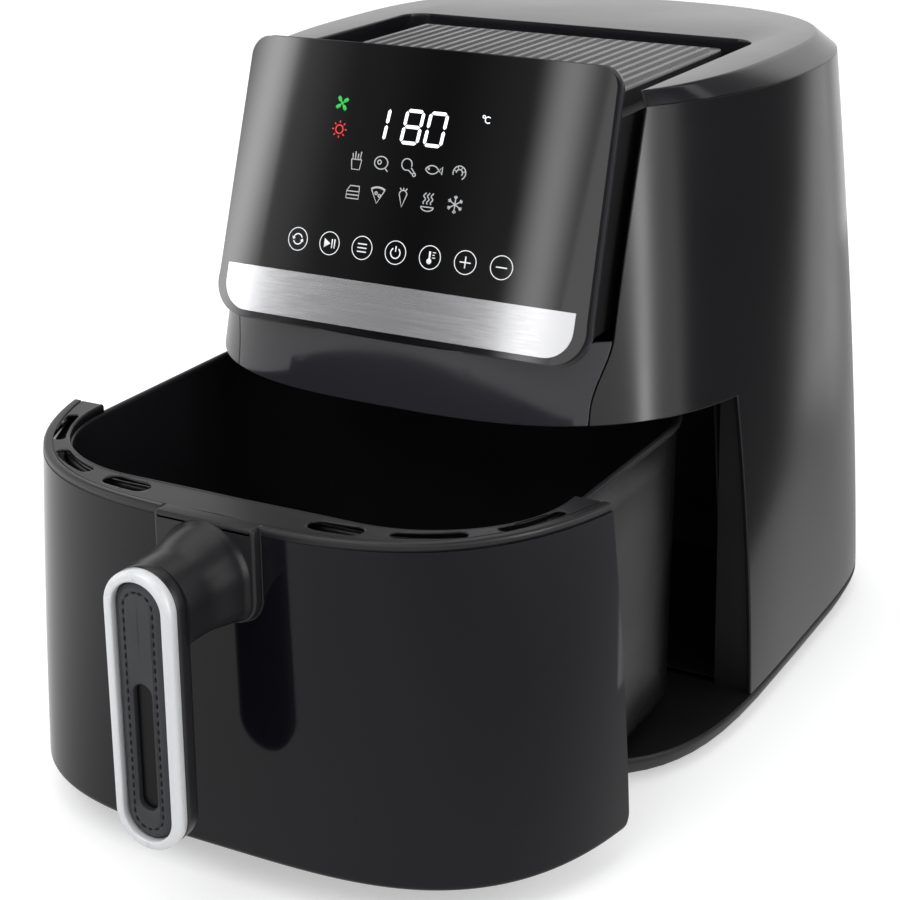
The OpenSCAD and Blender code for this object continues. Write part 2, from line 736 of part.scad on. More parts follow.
fan_z = roof_z - 19;
nut_z = fan_z - 5;
cooling_z = motor_z + motor_h + 5;
module motor_shaft() color("#c9ccd0") in_body() {
    post(0, pan_mid, shaft_r, nut_z - 1, cooling_z + 12, 48);
}
module air_fan() color("#a9acb0") in_body() translate([0, pan_mid, 0]) {
    difference() {
        union() {
            post(0, 0, shaft_r + 6, fan_z, fan_z + 14, 48);
            post(0, 0, fan_r, fan_z + 12, fan_z + 13.2, 96);
            for (a = [0 : 11]) rotate(a * 30)
                translate([shaft_r + 5, -0.6, fan_z]) cube([fan_r - shaft_r - 7, 1.2, 12.5]);
        }
        post(0, 0, shaft_r + fit, fan_z - 1, fan_z + 20, 48);
    }
}
module cooling_fan() color("#303236") in_body() translate([0, pan_mid, 0]) {
    difference() {
        union() {
            post(0, 0, shaft_r + 5, cooling_z, cooling_z + 10, 48);
            for (a = [0 : 6]) rotate(a * 360 / 7) translate([shaft_r + 4, 0, cooling_z + 5])
                rotate([28, 0, 0]) translate([0, -7, -0.7]) cube([motor_r + 4, 14, 1.4]);
        }
        post(0, 0, shaft_r + fit, cooling_z - 5, cooling_z + 20, 48);
    }
}
module fan_nut() color("#c9ccd0") in_body() {
    difference() {
        post(0, pan_mid, shaft_r + 3.5, nut_z, fan_z, 6);
        post(0, pan_mid, shaft_r + fit, nut_z - 1, fan_z + 1, 48);
    }
}

// ---- drawer ----

module pan_outline(grow) {
    translate([0, pan_mid]) rounded(pan_w + 2 * grow, pan_l + 2 * grow, pan_r + grow);
}
module pan() color("#1b1b1d") in_drawer() {
    difference() {
        union() {
            translate([0, 0, pan_z]) linear_extrude(pan_top - pan_z) pan_outline(pan_t);
            translate([0, 0, pan_top - 1.5]) linear_extrude(1.5) pan_outline(pan_t + 2.5);
        }
        translate([0, 0, pan_floor]) linear_extrude(pan_top) pan_outline(0);
    }
}
module bracket_notch(slack, back) {
    corner = 12;
    half = bracket_w / 2 + slack;
    low = drawer_top - bracket_h - slack;
    along_y(-front_reach - 30, back) {
        translate([-half, low + corner]) square([2 * half, bracket_h]);
        translate([-half + corner, low]) square([2 * (half - corner), bracket_h]);
        for (x = [-1, 1]) translate([x * (half - corner), low + corner]) circle(corner, $fn = 48);
    }
}
module drawer_front() color("#0f0f10") in_drawer() {
    difference() {
        drawer_solid(seam_z + 1, pan_top, 0);
        drawer_solid(seam_z, pan_top + 1, front_t);
        behind_drawer_end();
        bracket_notch(0.2, inner_y + 10);
    }
}
module behind_drawer_end() {
    difference() {
        slab(body_w, -600, 600, 0, body_h);
        ahead_of_mouth(-0.5, seam_z, pan_top + 20);
    }
}
module drawer_rim() color("#232325") in_drawer() {
    difference() {
        translate([0, 0, pan_top]) linear_extrude(drawer_top - pan_top) difference() {
            polygon(drawer_outline(drawer_top, 0));
            pan_outline(-1);
            translate([-body_w, mouth_top_y - 0.5]) square([2 * body_w, body_w]);
            rim_slots();
        }
        bracket_notch(0.2, inner_y + 0.2);
    }
}
// Slots in the rim: each is a short curved band, midway between the pan and the drawer's outline
module rim_slots() {
    for (s = [-1, 1], span = [[75, 84], [52.5, 70], [29, 44], [23, 25.5]])
        polygon(concat(
            [for (k = [0 : 6]) rim_point(s, mix(span[0], span[1], k / 6), 0.65)],
            [for (k = [6 : -1 : 0]) rim_point(s, mix(span[0], span[1], k / 6), 0.4)]));
}
function rim_point(s, a, t) =
    let (e = roundness(drawer_top), pan_e = 0.41, in_x = pan_w / 2, in_y = -pan_front - pan_t)
    [s * mix(in_x * pow(cos(a), pan_e), half_w(drawer_top) * pow(cos(a), e), t),
     -mix(in_y * pow(sin(a), pan_e), reach_f(drawer_top) * pow(sin(a), e), t)];

module front_braces() color("#161617") in_drawer() {
    intersection() {
        drawer_solid(seam_z, pan_top + 1, front_t);
        for (s = [-1, 1]) translate([s * 62 - 2, -front_reach, seam_z + 20])
            cube([4, pan_front + front_reach, pan_top - seam_z - 24]);
    }
}

root_y = -handle_root();
inner_y = -drawer_front_at(drawer_top) + front_t;
module handle_bracket() color("#141415") in_drawer() {
    difference() {
        intersection() {
            bracket_notch(0, inner_y);
            slab(bracket_w, root_y, inner_y, 0, drawer_top);
        }
        for (x = [-1, 1]) rod_y(x * 11, screw_z, screw_r + 0.2, root_y - 1, inner_y + 1);
    }
}
screw_z = drawer_top - bracket_h / 2;
neck_r = grip_w / 2 + 2;
neck_low = drawer_top - bracket_h + 5;
module handle_arm() color("#1a1a1c") in_drawer() {
    difference() {
        union() {
            along_y(grip_y - 1, root_y) {
                translate([0, grip_top - neck_r]) circle(neck_r, $fn = 64);
                translate([-neck_r, neck_low]) square([2 * neck_r, grip_top - neck_r - neck_low]);
            }
            along_y(grip_y - grip_t, grip_y) translate([0, grip_top - grip_h / 2]) stadium(grip_w, grip_h);
            translate([-grip_w / 2 + 4, grip_y, neck_low - 14]) rotate([90, 0, 90]) linear_extrude(grip_w - 8)
                difference() {
                    square([14, 15]);
                    translate([14, 0]) circle(14, $fn = 48);
                }
        }
        for (x = [-1, 1]) rod_y(x * 11, screw_z, screw_r + 0.1, grip_y + 8, root_y + 1);
    }
}
module handle_ring() color("#e4e5e6") in_drawer() {
    along_y(grip_front, grip_front + ring_t) translate([0, grip_top - grip_h / 2]) difference() {
        stadium(grip_w, grip_h);
        stadium(grip_w - 2 * ring_band, grip_h - 2 * ring_band);
    }
}
slot_h = grip_h * 0.46;
slot_w = 9.5;
slot_mid = grip_top - grip_h + ring_band + 13 + slot_h / 2;
module handle_insert() color("#26272a") in_drawer() {
    along_y(grip_front + 1.5, grip_front + ring_t) difference() {
        translate([0, grip_top - grip_h / 2])
            stadium(grip_w - 2 * ring_band - 0.2, grip_h - 2 * ring_band - 0.2);
        translate([0, slot_mid]) stadium(slot_w, slot_h);
    }
}
module handle_slot() color("#050506") in_drawer() {
    along_y(grip_front + ring_t - 1.5, grip_front + ring_t) translate([0, slot_mid])
        stadium(slot_w - 0.2, slot_h - 0.2);
}
module handle_screws() color("#9a9da1") in_drawer() {
    for (x = [-1, 1]) {
        rod_y(x * 11, screw_z, screw_r, grip_y + 9, inner_y + 0.5);
        rod_y(x * 11, screw_z, 3.6, inner_y, inner_y + 2.2);
    }
}

crisper_t = 2;
crisper_gap = 1.5;
module crisper_plate() color("#202123") in_drawer() {
    w = pan_w - 2 * crisper_gap;
    l = pan_l - 2 * crisper_gap;
    pitch = 19;
    nx = floor((w / 2 - 22) / pitch);
    ny = floor((l / 2 - 22) / pitch);
    translate([0, 0, crisper_z]) linear_extrude(crisper_t) difference() {
        pan_outline(-crisper_gap);
        for (i = [-nx : nx], j = [-ny : ny])
            if (abs(i) + abs(j) > 1 && !(abs(i) == nx && abs(j) == ny))
                translate([i * pitch, pan_mid + j * pitch]) circle(4, $fn = 24);
        translate([0, pan_mid]) circle(13, $fn = 48);
    }
    translate([0, pan_mid, crisper_z + crisper_t]) difference() {
        cylinder(r = 16, h = 6, $fn = 48);
        translate([0, 0, -1]) cylinder(r = 13, h = 8, $fn = 48);
    }
}
module crisper_feet() color("#7d2a22") in_drawer() {
    for (x = [-1, 1], y = [-1, 1])
        post(x * (pan_w / 2 - 26), pan_mid + y * (pan_l / 2 - 26), 6, pan_floor + clear, crisper_z);
}

rubber_feet();
base_tray();
outer_shell();
top_rim();
top_tray();
ribbed_panel();
front_fascia();
plate_carrier();
plate_frame();
control_plate();
steel_strip();
display_module();
touch_board();
front_bulkhead();
mouth_frame();
mouth_ceiling();
cavity_liner();
drawer_rails();
heater_guard();
heating_element();
element_clips();
motor_bracket();
motor();
insulation_mat();
power_board();
thermal_cutout();
temperature_probe();
exhaust_duct();
rear_grille();
cord_inlet();
switch_bracket();
drawer_switch();
switch_plunger();
housing_screws();
motor_shaft();
air_fan();
cooling_fan();
fan_nut();
pan();
drawer_front();
drawer_rim();
front_braces();
handle_bracket();
handle_arm();
handle_ring();
handle_insert();
handle_slot();
handle_screws();
crisper_plate();
crisper_feet();
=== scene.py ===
import math

import bmesh
import bpy
import numpy as np
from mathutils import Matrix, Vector


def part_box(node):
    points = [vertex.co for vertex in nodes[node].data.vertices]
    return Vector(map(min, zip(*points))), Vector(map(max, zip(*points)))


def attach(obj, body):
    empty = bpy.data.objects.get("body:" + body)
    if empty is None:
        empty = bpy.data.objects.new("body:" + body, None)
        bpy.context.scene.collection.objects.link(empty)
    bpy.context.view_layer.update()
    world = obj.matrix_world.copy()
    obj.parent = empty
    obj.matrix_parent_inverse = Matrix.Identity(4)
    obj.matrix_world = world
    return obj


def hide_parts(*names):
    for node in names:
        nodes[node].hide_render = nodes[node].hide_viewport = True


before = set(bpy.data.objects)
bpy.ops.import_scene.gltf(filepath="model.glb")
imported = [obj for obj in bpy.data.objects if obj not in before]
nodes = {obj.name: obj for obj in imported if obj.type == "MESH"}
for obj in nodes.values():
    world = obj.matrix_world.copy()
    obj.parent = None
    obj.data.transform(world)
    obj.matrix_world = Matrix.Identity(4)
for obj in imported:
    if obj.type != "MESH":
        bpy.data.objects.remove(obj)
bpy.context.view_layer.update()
mm = 0.001
trayBack, panFront = 160.0, 179.0                  # how far the tray and the pan reach from the body's widest line
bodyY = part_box("base_tray")[1].y / mm - trayBack   # that line in the frame, in millimetres
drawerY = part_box("pan")[0].y / mm + panFront       # the same line, carried out with the drawer

# Camera, lamps, cards and floor; lengths here are in metres and angles in degrees.
cameraSet = {"place": (0.47967, -0.907229, 0.52469), "tilt": 69.3472, "turn": 28.0987, "lens": 82.0, "sensor": 36.0,
             "near": 0.05, "far": 60.0}
studioSet = {"fill": 0.7, "paper": "e9e9ea", "paperGlow": 0.42, "floorHalf": 9.0, "floorDrop": 0.0004}
# size, power, target, turn, tilt and distance
lampSet = {
    "top_softbox": ((1.4, 1.4), 7.0, (0.0, 0.0, 0.2), 0, 80, 1.75),
    "back_softbox": ((2.0, 1.0), 5.0, (0.0, 0.1, 0.25), 200, 62, 2.0),
    "front_softbox": ((1.2, 0.8), 6.0, (0.0, -0.1, 0.15), -15, 48, 1.6),
    "right_strip": ((0.1, 0.7), 1.9, (0.13, 0.02, 0.26), 75, 3, 0.9)}
# size, strength, whether it adds its light to what is behind it, stops, target, turn, tilt and distance
panelStops = ((0.0, 0.0), (1.0, 0.0), (0.5, 1.0))
cardSet = {
    "left_panel": ((0.165, 0.9), 3.3, True, panelStops, (-0.02, -0.08, 0.29), -50.3, 15, 1.15),
    "right_panel": ((0.17, 0.9), 1.9, True, panelStops, (0.06, -0.08, 0.29), -15.0, 17, 1.15),
    "front_card": ((0.84, 0.7), 1.0, False, ((0.0, 0.5), (1.0, 0.5), (0.24, 0.13), (0.5, 0.05), (0.76, 0.15)),
                   (0.0, -0.08, 0.29), -28, 19, 1.25),
    "right_card": ((1.5, 0.4), 1.5, False, ((0.0, 1.0), (1.0, 0.4), (0.02, 0.06), (0.25, 0.04), (0.31, 0.3),
                                            (0.38, 0.95), (0.46, 0.8), (0.6, 0.4)), (0.15, 0.75, 0.2), 90, 0, 0.15),
    "floor_card": ((4.4, 2.4), 1.0, False, ((0.0, 1.0), (1.0, 1.0), (0.3, 1.0), (0.4, 0.6), (0.5, 0.45), (0.6, 0.6),
                                            (0.7, 1.0)), (0.45, 0.0, -1.0), 0, 90, 1.001),
    "ceiling_card": ((7.0, 7.0), 1.0, False, ((0.0, 1.0), (1.0, 1.0), (0.12, 0.2), (0.5, 0.14), (0.88, 0.2)),
                     (0.0, 0.1, 0.3), 0, 90, 1.95)}


def makeCamera():
    camera = bpy.data.objects.new("camera", bpy.data.cameras.new("camera"))
    bpy.context.scene.collection.objects.link(camera)
    camera.data.lens, camera.data.sensor_width = cameraSet["lens"], cameraSet["sensor"]
    camera.location = cameraSet["place"]
    camera.rotation_euler = (math.radians(cameraSet["tilt"]), 0.0, math.radians(cameraSet["turn"]))
    camera.data.clip_start, camera.data.clip_end = cameraSet["near"], cameraSet["far"]
    bpy.context.scene.camera = camera
    bpy.context.scene.view_settings.view_transform = "Standard"


# Two hex digits a channel, from sRGB to linear.
def toLinear(code):
    parts = [int(code[i:i + 2], 16) / 255 for i in (0, 2, 4)]
    return [p / 12.92 if p <= 0.04045 else ((p + 0.055) / 1.055) ** 2.4 for p in parts] + [1.0]


# Adds one node; settings name its sockets or its own properties, and links join sockets to outputs.
def addNode(tree, kind, settings=None, links=None):
    node = tree.nodes.new(kind)
    for key, value in (settings or {}).items():
        if isinstance(key, int) or key in node.inputs:
            node.inputs[key].default_value = value
        else:
            setattr(node, key, value)
    for key, source in (links or {}).items():
        tree.links.new(source, node.inputs[key])
    return node


# The empty node tree of a new material or world.
def emptyTree(owner):
    owner.use_nodes = True
    owner.node_tree.nodes.clear()
    return owner.node_tree


# One where the ray comes from the camera, a shiny surface or glass, which all see the white background.
def seenRays(tree):
    path = addNode(tree, "ShaderNodeLightPath")
    most = path.outputs["Is Camera Ray"]
    for ray in ("Is Glossy Ray", "Is Transmission Ray"):
        most = addNode(tree, "ShaderNodeMath", {"operation": "MAXIMUM"}, {0: most, 1: path.outputs[ray]}).outputs[0]
    return most


# White all round, at full strength where it is seen and at the fill level where it lights the fryer.
def makeWorld():
    world = bpy.data.worlds.new("studio")
    bpy.context.scene.world = world
    tree = emptyTree(world)
    level = addNode(tree, "ShaderNodeMix", {"data_type": "FLOAT", 2: studioSet["fill"], 3: 1.0}, {0: seenRays(tree)})
    glow = addNode(tree, "ShaderNodeBackground", {"Color": (1.0, 1.0, 1.0, 1.0)}, {"Strength": level.outputs[0]})
    addNode(tree, "ShaderNodeOutputWorld", links={0: glow.outputs[0]})


# Puts item at a distance from target, turned from the front towards the right and raised by tilt, looking at target.
def aimAt(item, target, turn, tilt, distance):
    turn, tilt = math.radians(turn), math.radians(tilt)
    away = np.array([math.sin(turn) * math.cos(tilt), -math.cos(turn) * math.cos(tilt), math.sin(tilt)])
    place = np.array(target) + distance * away
    aim = np.array(target) - place
    item.location = place
    item.rotation_euler = (math.atan2(math.hypot(aim[0], aim[1]), -aim[2]), 0.0, math.atan2(-aim[0], aim[1]))
    bpy.context.scene.collection.objects.link(item)


def addLight(name, size, power, *place):
    lamp = bpy.data.objects.new(name, bpy.data.lights.new(name, "AREA"))
    lamp.data.shape, lamp.data.size, lamp.data.size_y = "RECTANGLE", size[0], size[1]
    lamp.data.energy = power
    aimAt(lamp, *place)


# A flat rectangle reaching x and y from its middle, at height z.
def flatSheet(name, x, y, z):
    mesh = bpy.data.meshes.new(name)
    mesh.from_pydata([(-x, -y, z), (x, -y, z), (x, y, z), (-x, y, z)], [], [(0, 1, 2, 3)])
    return bpy.data.objects.new(name, mesh)


# A card beside the set, which only shows in the fryer's gloss. Its stops are (share of the width, level) from
# its left to its right, eased between, times strength.
def addCard(name, size, strength, adds, stops, *place):
    half = size[0] / 2
    card = flatSheet(name, half, size[1] / 2, 0)
    material = bpy.data.materials.new(name)
    tree = emptyTree(material)
    spot = addNode(tree, "ShaderNodeTexCoord")
    axes = addNode(tree, "ShaderNodeSeparateXYZ", links={0: spot.outputs["Object"]})
    across = addNode(tree, "ShaderNodeMapRange", {"From Min": -half, "From Max": half}, {0: axes.outputs["X"]})
    levels = addNode(tree, "ShaderNodeValToRGB", links={0: across.outputs[0]})
    levels.color_ramp.interpolation = "EASE"
    marks = levels.color_ramp.elements
    for k, (share, level) in enumerate(stops):
        mark = marks[k] if k < 2 else marks.new(share)
        mark.position, mark.color = share, (level, level, level, 1.0)
    glow = addNode(tree, "ShaderNodeEmission", {"Strength": strength}, {"Color": levels.outputs[0]})
    if adds:
        clear = addNode(tree, "ShaderNodeBsdfTransparent")
        glow = addNode(tree, "ShaderNodeAddShader", links={0: glow.outputs[0], 1: clear.outputs[0]})
    addNode(tree, "ShaderNodeOutputMaterial", links={0: glow.outputs[0]})
    card.data.materials.append(material)
    for kind in ("camera", "diffuse", "transmission", "volume_scatter", "shadow"):
        setattr(card, "visible_" + kind, False)
    aimAt(card, *place)


# Matt paper that keeps the fryer's shadow, lifted by a faint glow where it is seen, so that it runs into the white.
def makeFloor():
    floor = flatSheet("floor", studioSet["floorHalf"], studioSet["floorHalf"], -studioSet["floorDrop"])
    bpy.context.scene.collection.objects.link(floor)
    material = bpy.data.materials.new("matt_paper_sweep")
    tree = emptyTree(material)
    paper = addNode(tree, "ShaderNodeBsdfDiffuse", {"Color": toLinear(studioSet["paper"])})
    glow = addNode(tree, "ShaderNodeEmission", {"Color": (1.0, 1.0, 1.0, 1.0), "Strength": studioSet["paperGlow"]})
    both = addNode(tree, "ShaderNodeAddShader", links={0: paper.outputs[0], 1: glow.outputs[0]})
    seen = addNode(tree, "ShaderNodeMixShader", links={0: seenRays(tree), 1: paper.outputs[0], 2: both.outputs[0]})
    addNode(tree, "ShaderNodeOutputMaterial", links={0: seen.outputs[0]})
    floor.data.materials.append(material)


makeCamera()
makeWorld()
for name, values in lampSet.items():
    addLight(name, *values)
for name, values in cardSet.items():
    addCard(name, *values)
makeFloor()
print("studio ready")


# A soft mottle moves the colour towards second and the roughness by spread to both sides, and a grain gives a fine
# relief; a streak takes its gloss from the grain. Sizes are in millimetres.
def surface(name, colour, second, rough, grain, relief, spread=0.06, metal=0.0, ior=1.5, specular=0.5, coat=0.0,
            sheen=0.0, stretch=(1, 1, 1), pattern="noise", mottle=60.0):
    material = bpy.data.materials.new(name)
    tree = emptyTree(material)
    place = addNode(tree, "ShaderNodeTexCoord")
    scaled = addNode(tree, "ShaderNodeMapping", {"Scale": stretch}, {"Vector": place.outputs["Object"]})
    if pattern == "cells":
        fine = addNode(tree, "ShaderNodeTexVoronoi", {"Scale": 1 / (grain * mm)}, {"Vector": scaled.outputs[0]})
        height = fine.outputs["Distance"]
    else:
        fine = addNode(tree, "ShaderNodeTexNoise", {"Scale": 1 / (grain * mm), "Detail": 3.0, "Roughness": 0.55},
                       {"Vector": scaled.outputs[0]})
        height = fine.outputs[0]
    broad = addNode(tree, "ShaderNodeTexNoise", {"Scale": 1 / (mottle * mm), "Detail": 2.0},
                    {"Vector": place.outputs["Object"]})
    tint = addNode(tree, "ShaderNodeMix", {"data_type": "RGBA", 6: toLinear(colour), 7: toLinear(second)},
                   {0: broad.outputs[0]})
    gloss = addNode(tree, "ShaderNodeMapRange",
                    {"From Min": 0.3, "From Max": 0.7, "To Min": max(0.0, rough - spread), "To Max": rough + spread},
                    {0: height if pattern == "streak" else broad.outputs[0]})
    bump = addNode(tree, "ShaderNodeBump", {"Strength": 1.0, "Distance": relief * mm}, {"Height": height})
    shader = addNode(tree, "ShaderNodeBsdfPrincipled",
                     {"Metallic": metal, "Coat Weight": coat, "Coat Roughness": 0.05, "Sheen Weight": sheen,
                      "Specular IOR Level": specular},
                     {"Base Color": tint.outputs[2], "Roughness": gloss.outputs[0], "Normal": bump.outputs[0]})
    if not metal:
        shader.inputs["IOR"].default_value = ior
    addNode(tree, "ShaderNodeOutputMaterial", links={0: shader.outputs[0]})
    return material


# Printed or lit art: one colour, with a faint grain in the ink's gloss, glowing at strength;
# on printed icons the glow is painted light.
def glowing(name, colour, strength):
    material = bpy.data.materials.new(name)
    tree = emptyTree(material)
    place = addNode(tree, "ShaderNodeTexCoord")
    grain = addNode(tree, "ShaderNodeTexNoise", {"Scale": 1 / (1.5 * mm)}, {"Vector": place.outputs["Object"]})
    gloss = addNode(tree, "ShaderNodeMapRange", {"To Min": 0.22, "To Max": 0.38}, {0: grain.outputs[0]})
    ink = toLinear(colour)
    shader = addNode(tree, "ShaderNodeBsdfPrincipled",
                     {"Base Color": ink, "Emission Color": ink, "Emission Strength": strength},
                     {"Roughness": gloss.outputs[0]})
    addNode(tree, "ShaderNodeOutputMaterial", links={0: shader.outputs[0]})
    return material


# mirror-like, with the faint ripple of a moulding
glossAbs = surface("moulded_gloss_abs", "0e0e13", "111116", 0.07, 2.6, 0.0006, 0.02, ior=1.4)
# the same black gloss, made paler by a highlight painted into its colour
bandPaintedHighlightAbs = surface("moulded_gloss_band_painted_highlight", "2e2e33", "333338", 0.1, 2.6, 0.0006, 0.02)
# soft bright sheen over dark grey
satinAbs = surface("moulded_satin_abs", "151517", "18181b", 0.22, 0.6, 0.002, 0.02)
# the brighter satin band at the top
rimAbs = surface("rim_satin_abs", "1a1a1d", "1e1e21", 0.2, 0.5, 0.003, 0.02)
# smooth satin with a soft light across it
rimDrawerAbs = surface("drawer_rim_satin_abs", "161619", "222224", 0.34, 0.45, 0.005, 0.03)
# the ribbed lid's black moulding: its sheen comes partly from its gloss and partly from a paler colour painted in
ribPaintedSheenAbs = surface("ribbed_satin_painted_sheen_abs", "38383a", "3c3c3f", 0.27, 0.45, 0.004)
# spark-eroded mould: dull, finely grained
mattAbs = surface("moulded_matt_abs", "101011", "141415", 0.5, 0.35, 0.008)
# inner parts that hardly catch light
deepAbs = surface("shadowed_matt_abs", "0a0a0b", "0d0d0e", 0.6, 0.4, 0.006)
# deep black mirror over the display
panelGlass = surface("black_glass_panel", "050507", "060607", 0.055, 9.0, 0.0008, 0.012, specular=1.0)
# thin paler line round the panel
trimGrey = surface("grey_edge_trim", "34343a", "323235", 0.2, 0.5, 0.002, 0.03)
# fine streaks along the strip, drawn coarser than the 0.05 mm grit lines so that they show
brushedSteel = surface("brushed_stainless", "e4e4e6", "dddde0", 0.17, 0.9, 0.0002, 0.03, metal=0.75,
                       stretch=(0.012, 1, 1), pattern="streak")
# bright drawn wire, for the guard and the screws
plainSteel = surface("bright_steel_wire", "b9babd", "a9aaad", 0.24, 0.8, 0.002, metal=1.0)
# bright shaft with fine lines along it
groundSteel = surface("ground_steel", "c4c4c8", "b8b8bc", 0.2, 0.3, 0.001, metal=1.0, stretch=(1, 1, 0.02))
# browned by heat
heaterTube = surface("heat_tinted_steel_tube", "6d6256", "55493f", 0.42, 0.9, 0.006, metal=1.0)
# faint spangle
zincSheet = surface("zinc_plated_sheet", "a4a8ab", "8f9498", 0.36, 6.0, 0.004, metal=1.0, pattern="cells")
# pale dull metal, as pressed
stampedAluminium = surface("stamped_aluminium", "c3c4c6", "b5b6b9", 0.33, 0.6, 0.003, metal=1.0)
# dark film with a fine fleck
nonStick = surface("non_stick_coating", "1a1a1d", "1f1f22", 0.36, 0.7, 0.01, 0.05, pattern="cells")
# smoother and darker outside
nonStickWall = surface("non_stick_outer_wall", "0d0d10", "121215", 0.26, 0.8, 0.004, 0.05, ior=1.4)
# smooth dark enamel, half shiny
linerCoat = surface("enamelled_liner", "111112", "171718", 0.34, 1.2, 0.005)
# dead dull black
footRubber = surface("moulded_rubber", "101010", "161616", 0.75, 0.6, 0.012)
# brick red, half dull
silicone = surface("silicone_feet", "7c2c22", "8a3429", 0.55, 0.7, 0.006, ior=1.42)
# lacquered green
boardGreen = surface("solder_mask_board", "1c4b2c", "173f25", 0.32, 1.4, 0.006)
# cream and fibrous, with a dusty bloom
feltMat = surface("glass_fibre_felt", "d3cfc0", "c2bdac", 0.95, 0.9, 0.08, sheen=0.3)
# pale glaze over fired clay
ceramicBody = surface("glazed_ceramic", "c4bdae", "b6ae9e", 0.28, 1.0, 0.004)
# waxy red, half shiny
redAcetal = surface("red_acetal", "b03226", "a02b20", 0.35, 0.6, 0.004)
# bright ring round the grip
silverPaint = surface("satin_silver_paint", "e6e7e9", "dfe0e3", 0.3, 0.3, 0.002, 0.03, metal=0.1, coat=0.4)
# pebbled grain, about 1 mm
leatherette = surface("embossed_leatherette", "35363a", "2e2f33", 0.5, 0.9, 0.05, pattern="cells", mottle=14.0)
# dull twisted black
stitchThread = surface("waxed_black_thread", "070708", "0e0e0f", 0.7, 0.25, 0.03, ior=1.4)
# near black with a weak shine, deep in the grip
slotBlack = surface("slot_gloss_black", "040404", "070707", 0.3, 3.0, 0.001, ior=1.35)
digitWhite = glowing("lit_white_digits", "f4f8ff", 1.0)
# the printed icons glow too: painted light, since print gives none
iconWhite = glowing("printed_white_icons_painted_glow", "e4e6ea", 0.35)
iconGrey = glowing("printed_grey_icons_painted_glow", "aeb0b2", 0.28)
iconGreen = glowing("lit_green_icon", "27a546", 0.7)
iconRed = glowing("lit_red_icon", "d0282c", 0.8)

# the other nodes, such as the tray, the rails and the braces, are moulded matt plastic
nodeFinish = {
    "rubber_feet": footRubber, "top_tray": deepAbs, "plate_carrier": deepAbs, "display_module": panelGlass,
    "touch_board": boardGreen, "front_bulkhead": deepAbs, "cavity_liner": linerCoat, "heater_guard": plainSteel,
    "heating_element": heaterTube, "element_clips": zincSheet, "motor_bracket": zincSheet, "motor": zincSheet,
    "insulation_mat": feltMat, "power_board": boardGreen, "thermal_cutout": ceramicBody,
    "temperature_probe": plainSteel, "exhaust_duct": zincSheet, "rear_grille": satinAbs, "switch_bracket": zincSheet,
    "switch_plunger": redAcetal, "housing_screws": plainSteel, "motor_shaft": groundSteel,
    "air_fan": stampedAluminium, "fan_nut": plainSteel, "handle_screws": plainSteel, "handle_slot": slotBlack,
    "crisper_plate": nonStick, "crisper_feet": silicone}

for name, node in nodes.items():
    node.data.materials.clear()
    node.data.materials.append(nodeFinish.get(name, mattAbs))
print("materials ready")


# Shapes shared by the pieces; all lengths from here on are in millimetres, x to the right, y to the back and z up.
bodySet = {"width": 322.0, "topWidth": 290.0, "sideCurve": 1.9, "front": 206.0, "topFront": 186.0, "frontCurve": 2.5,
           "back": 160.0, "topBack": 148.0, "backCurve": 1.5, "round": 0.445, "roundGain": 0.44, "mostRise": 1.2,
           "seam": 15.0, "shoulder": 335.0, "top": 343.0, "wall": 2.6, "recessHalf": 106.0, "recessBack": 18.0,
           "tray": 331.0, "mouthTop": 186.0, "mouthY": -104.0, "mouthLean": 12 / 171,
           "openingLow": 101.0, "openingHigh": 107.0, "openingFrom": 194.0, "openingOver": 34.0}
plateSet = {"front": 203.0, "foot": 222.0, "lean": math.radians(17.5), "bow": 880.0, "height": 141.5, "lowHalf": 103.5,
            "topHalf": 100.7, "lowRound": 17.0, "topRound": 10.0, "thick": 5.0, "frame": 3.0}
drawerSet = {"top": 184.0, "foot": 16.0, "reach": 200.0, "thick": 3.0, "panHalf": 128.5, "panLength": 245.0,
             "panRound": 67.0, "panMiddle": -52.5, "panTop": 180.0, "panFloor": 23.3, "panWall": 1.5}


# Share of the way from the seam up to the shoulder.
def rise(z):
    b = bodySet
    return np.clip((z - b["seam"]) / (b["shoulder"] - b["seam"]), 0, b["mostRise"])


# Each reach of the body falls from its value at the seam to its value at the top, as the rise to a power.
def halfWidth(z):
    return bodySet["width"] / 2 - (bodySet["width"] - bodySet["topWidth"]) / 2 * rise(z) ** bodySet["sideCurve"]


def frontReach(z):
    return bodySet["front"] - (bodySet["front"] - bodySet["topFront"]) * rise(z) ** bodySet["frontCurve"]


def backReach(z):
    return bodySet["back"] - (bodySet["back"] - bodySet["topBack"]) * rise(z) ** bodySet["backCurve"]


# The squared oval's e grows with the rise: nearly a rectangle below, nearly an ellipse above.
def roundness(z):
    return bodySet["round"] + bodySet["roundGain"] * rise(z)


# Three t squared less two t cubed, level at both ends.
def smoothStep(t):
    t = np.clip(t, 0, 1)
    return t * t * (3 - 2 * t)


def mix(a, b, t):
    return a + (b - a) * t


# Half the width left open in the body's front, wider beside the plate than just above the drawer.
def openingHalf(z):
    b = bodySet
    return mix(b["openingLow"], b["openingHigh"], smoothStep((z - b["openingFrom"]) / b["openingOver"]))


# Depth of the mouth's edge, which leans back as it goes down from the mouth's top.
def mouthLine(z):
    return bodySet["mouthY"] + (bodySet["mouthTop"] - np.minimum(z, bodySet["mouthTop"])) * bodySet["mouthLean"]


# Squared oval: along each direction the point lies at 1 / (|cos|^n + |sin|^n)^(1/n) of the reach, n = 2 / e.
def ovalPoints(angles, half, front, back, e):
    c, s = np.cos(angles), np.sin(angles)
    n = 2 / e
    reach = (np.abs(c) ** n + np.abs(s) ** n) ** (-1 / n)
    return np.stack([half * c * reach, np.where(s < 0, front, back) * s * reach], axis=-1)


# The oval's right half from the front's middle to the back's, the lengths along it, and its widest point's number.
def halfOval(half, front, back, e):
    line = ovalPoints(np.linspace(-math.pi / 2, math.pi / 2, 3001), half, front, back, e)
    return line, lengths(line), int(np.argmax(line[:, 0]))


# How far along a line each of its points lies.
def lengths(line):
    return np.r_[0, np.cumsum(np.linalg.norm(np.diff(line, axis=0), axis=1))]


